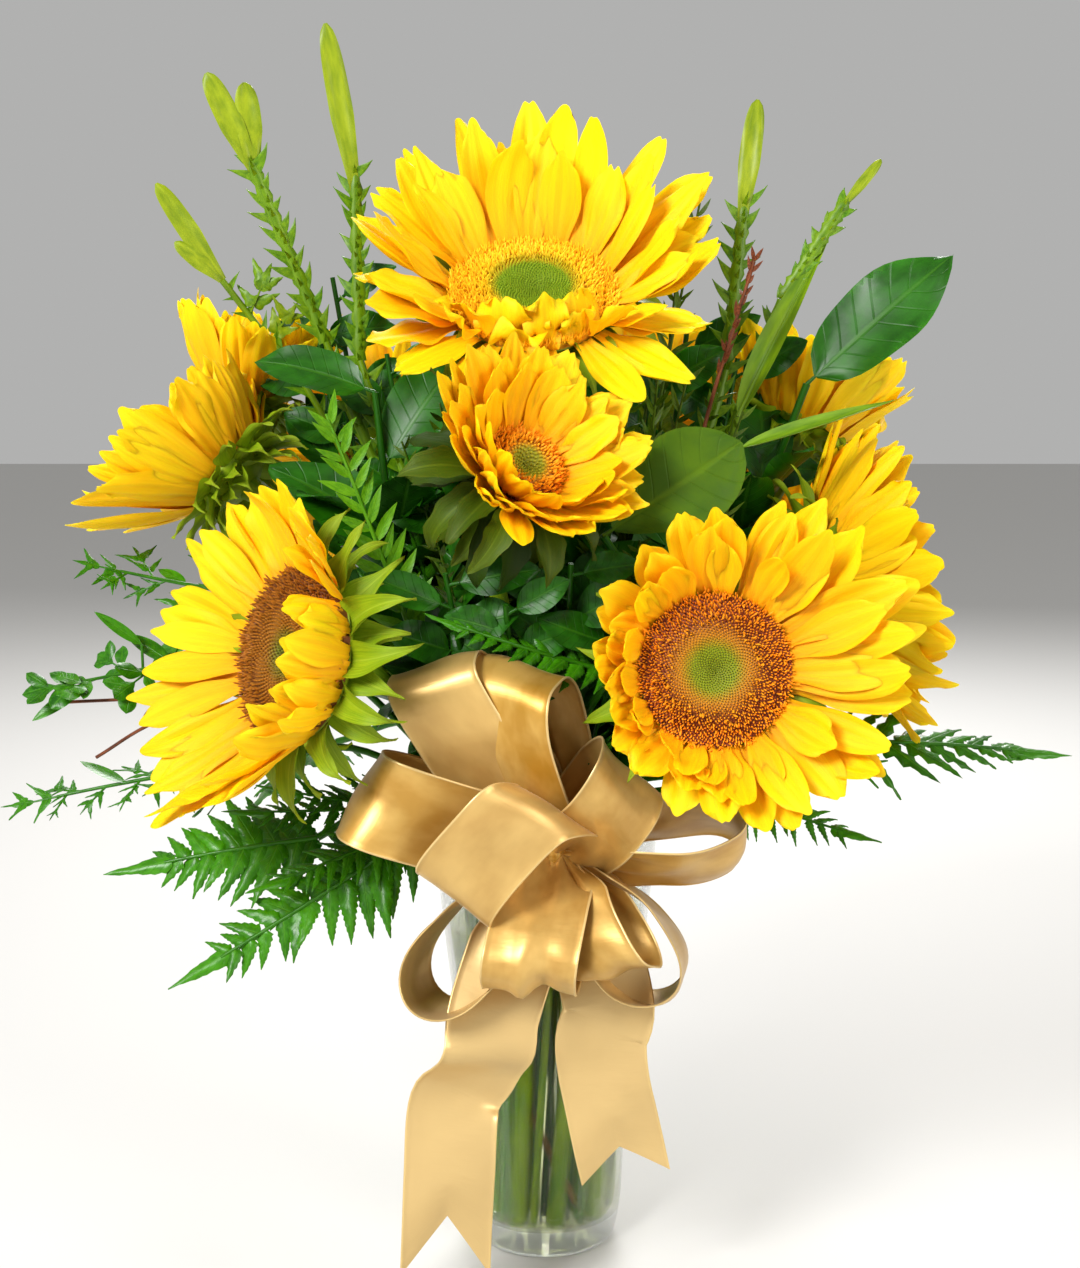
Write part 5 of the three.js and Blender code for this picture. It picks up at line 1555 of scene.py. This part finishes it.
def aim(thing, target):
    thing.rotation_euler = (Vector(target) - thing.location).to_track_quat("-Z", "Y").to_euler()


def add_light(name, place, size, power, target=(0, 0, 0.28), colour=(1, 1, 1)):
    data = bpy.data.lights.new(name, "AREA")
    data.shape = "DISK"
    data.size = size
    data.energy = power
    data.color = colour
    lamp = bpy.data.objects.new(name, data)
    bpy.context.scene.collection.objects.link(lamp)
    lamp.location = place
    aim(lamp, target)


def make_stage():
    """A level floor, an even pale surround and three lamps."""
    mesh = bpy.data.meshes.new("floor")
    corners = [(-1, -1), (1, -1), (1, 1), (-1, 1)]
    mesh.from_pydata([(x * FLOOR_REACH, y * FLOOR_REACH, 0) for x, y in corners], [], [(0, 1, 2, 3)])
    paint = Paint("floor", Roughness=0.7)
    mesh.materials.append(paint.finish((0.6, 0.59, 0.57, 1)))
    floor = bpy.data.objects.new("floor", mesh)
    bpy.context.scene.collection.objects.link(floor)
    world = bpy.data.worlds.new("studio")
    world.use_nodes = True
    world.node_tree.nodes["Background"].inputs["Color"].default_value = (0.88, 0.88, 0.87, 1)
    world.node_tree.nodes["Background"].inputs["Strength"].default_value = 0.5
    bpy.context.scene.world = world
    add_light("key", (-0.85, -1.25, 1.15), 0.6, 36)
    add_light("fill", (1.1, -1.0, 0.7), 0.8, 11, colour=(1, 0.97, 0.93))
    add_light("back", (0.2, 1.3, 1.3), 0.8, 30)


def make_camera():
    data = bpy.data.cameras.new("camera")
    data.lens = CAMERA_LENS
    data.sensor_width = 36
    camera = bpy.data.objects.new("camera", data)
    bpy.context.scene.collection.objects.link(camera)
    camera.location = [part * MM for part in CAMERA_PLACE]
    camera.rotation_euler = (math.radians(CAMERA_TILT), 0, 0)
    bpy.context.scene.camera = camera
    bpy.context.scene.view_settings.view_transform = "Standard"


# ---------------------------------------------------------------- the bouquet

make_camera()
make_stage()
make_vase()
make_water()
make_bow()
make_pick()
make_filler()
make_sprigs()
make_odd_leaves()
make_left_leaflets()
make_bare_twigs()
make_front_leaves()
for number, (bloom_name, bloom_look) in enumerate(BLOOMS.items()):
    make_bloom(100 + number, bloom_name, bloom_look)
for number, (stem_name, stem_facts) in enumerate(LEAF_STEMS.items()):
    make_leaf_stem(200 + number, stem_name, *stem_facts)
for number, (frond_name, frond_facts) in enumerate(FRONDS.items()):
    make_frond(300 + number, frond_name, **frond_facts)
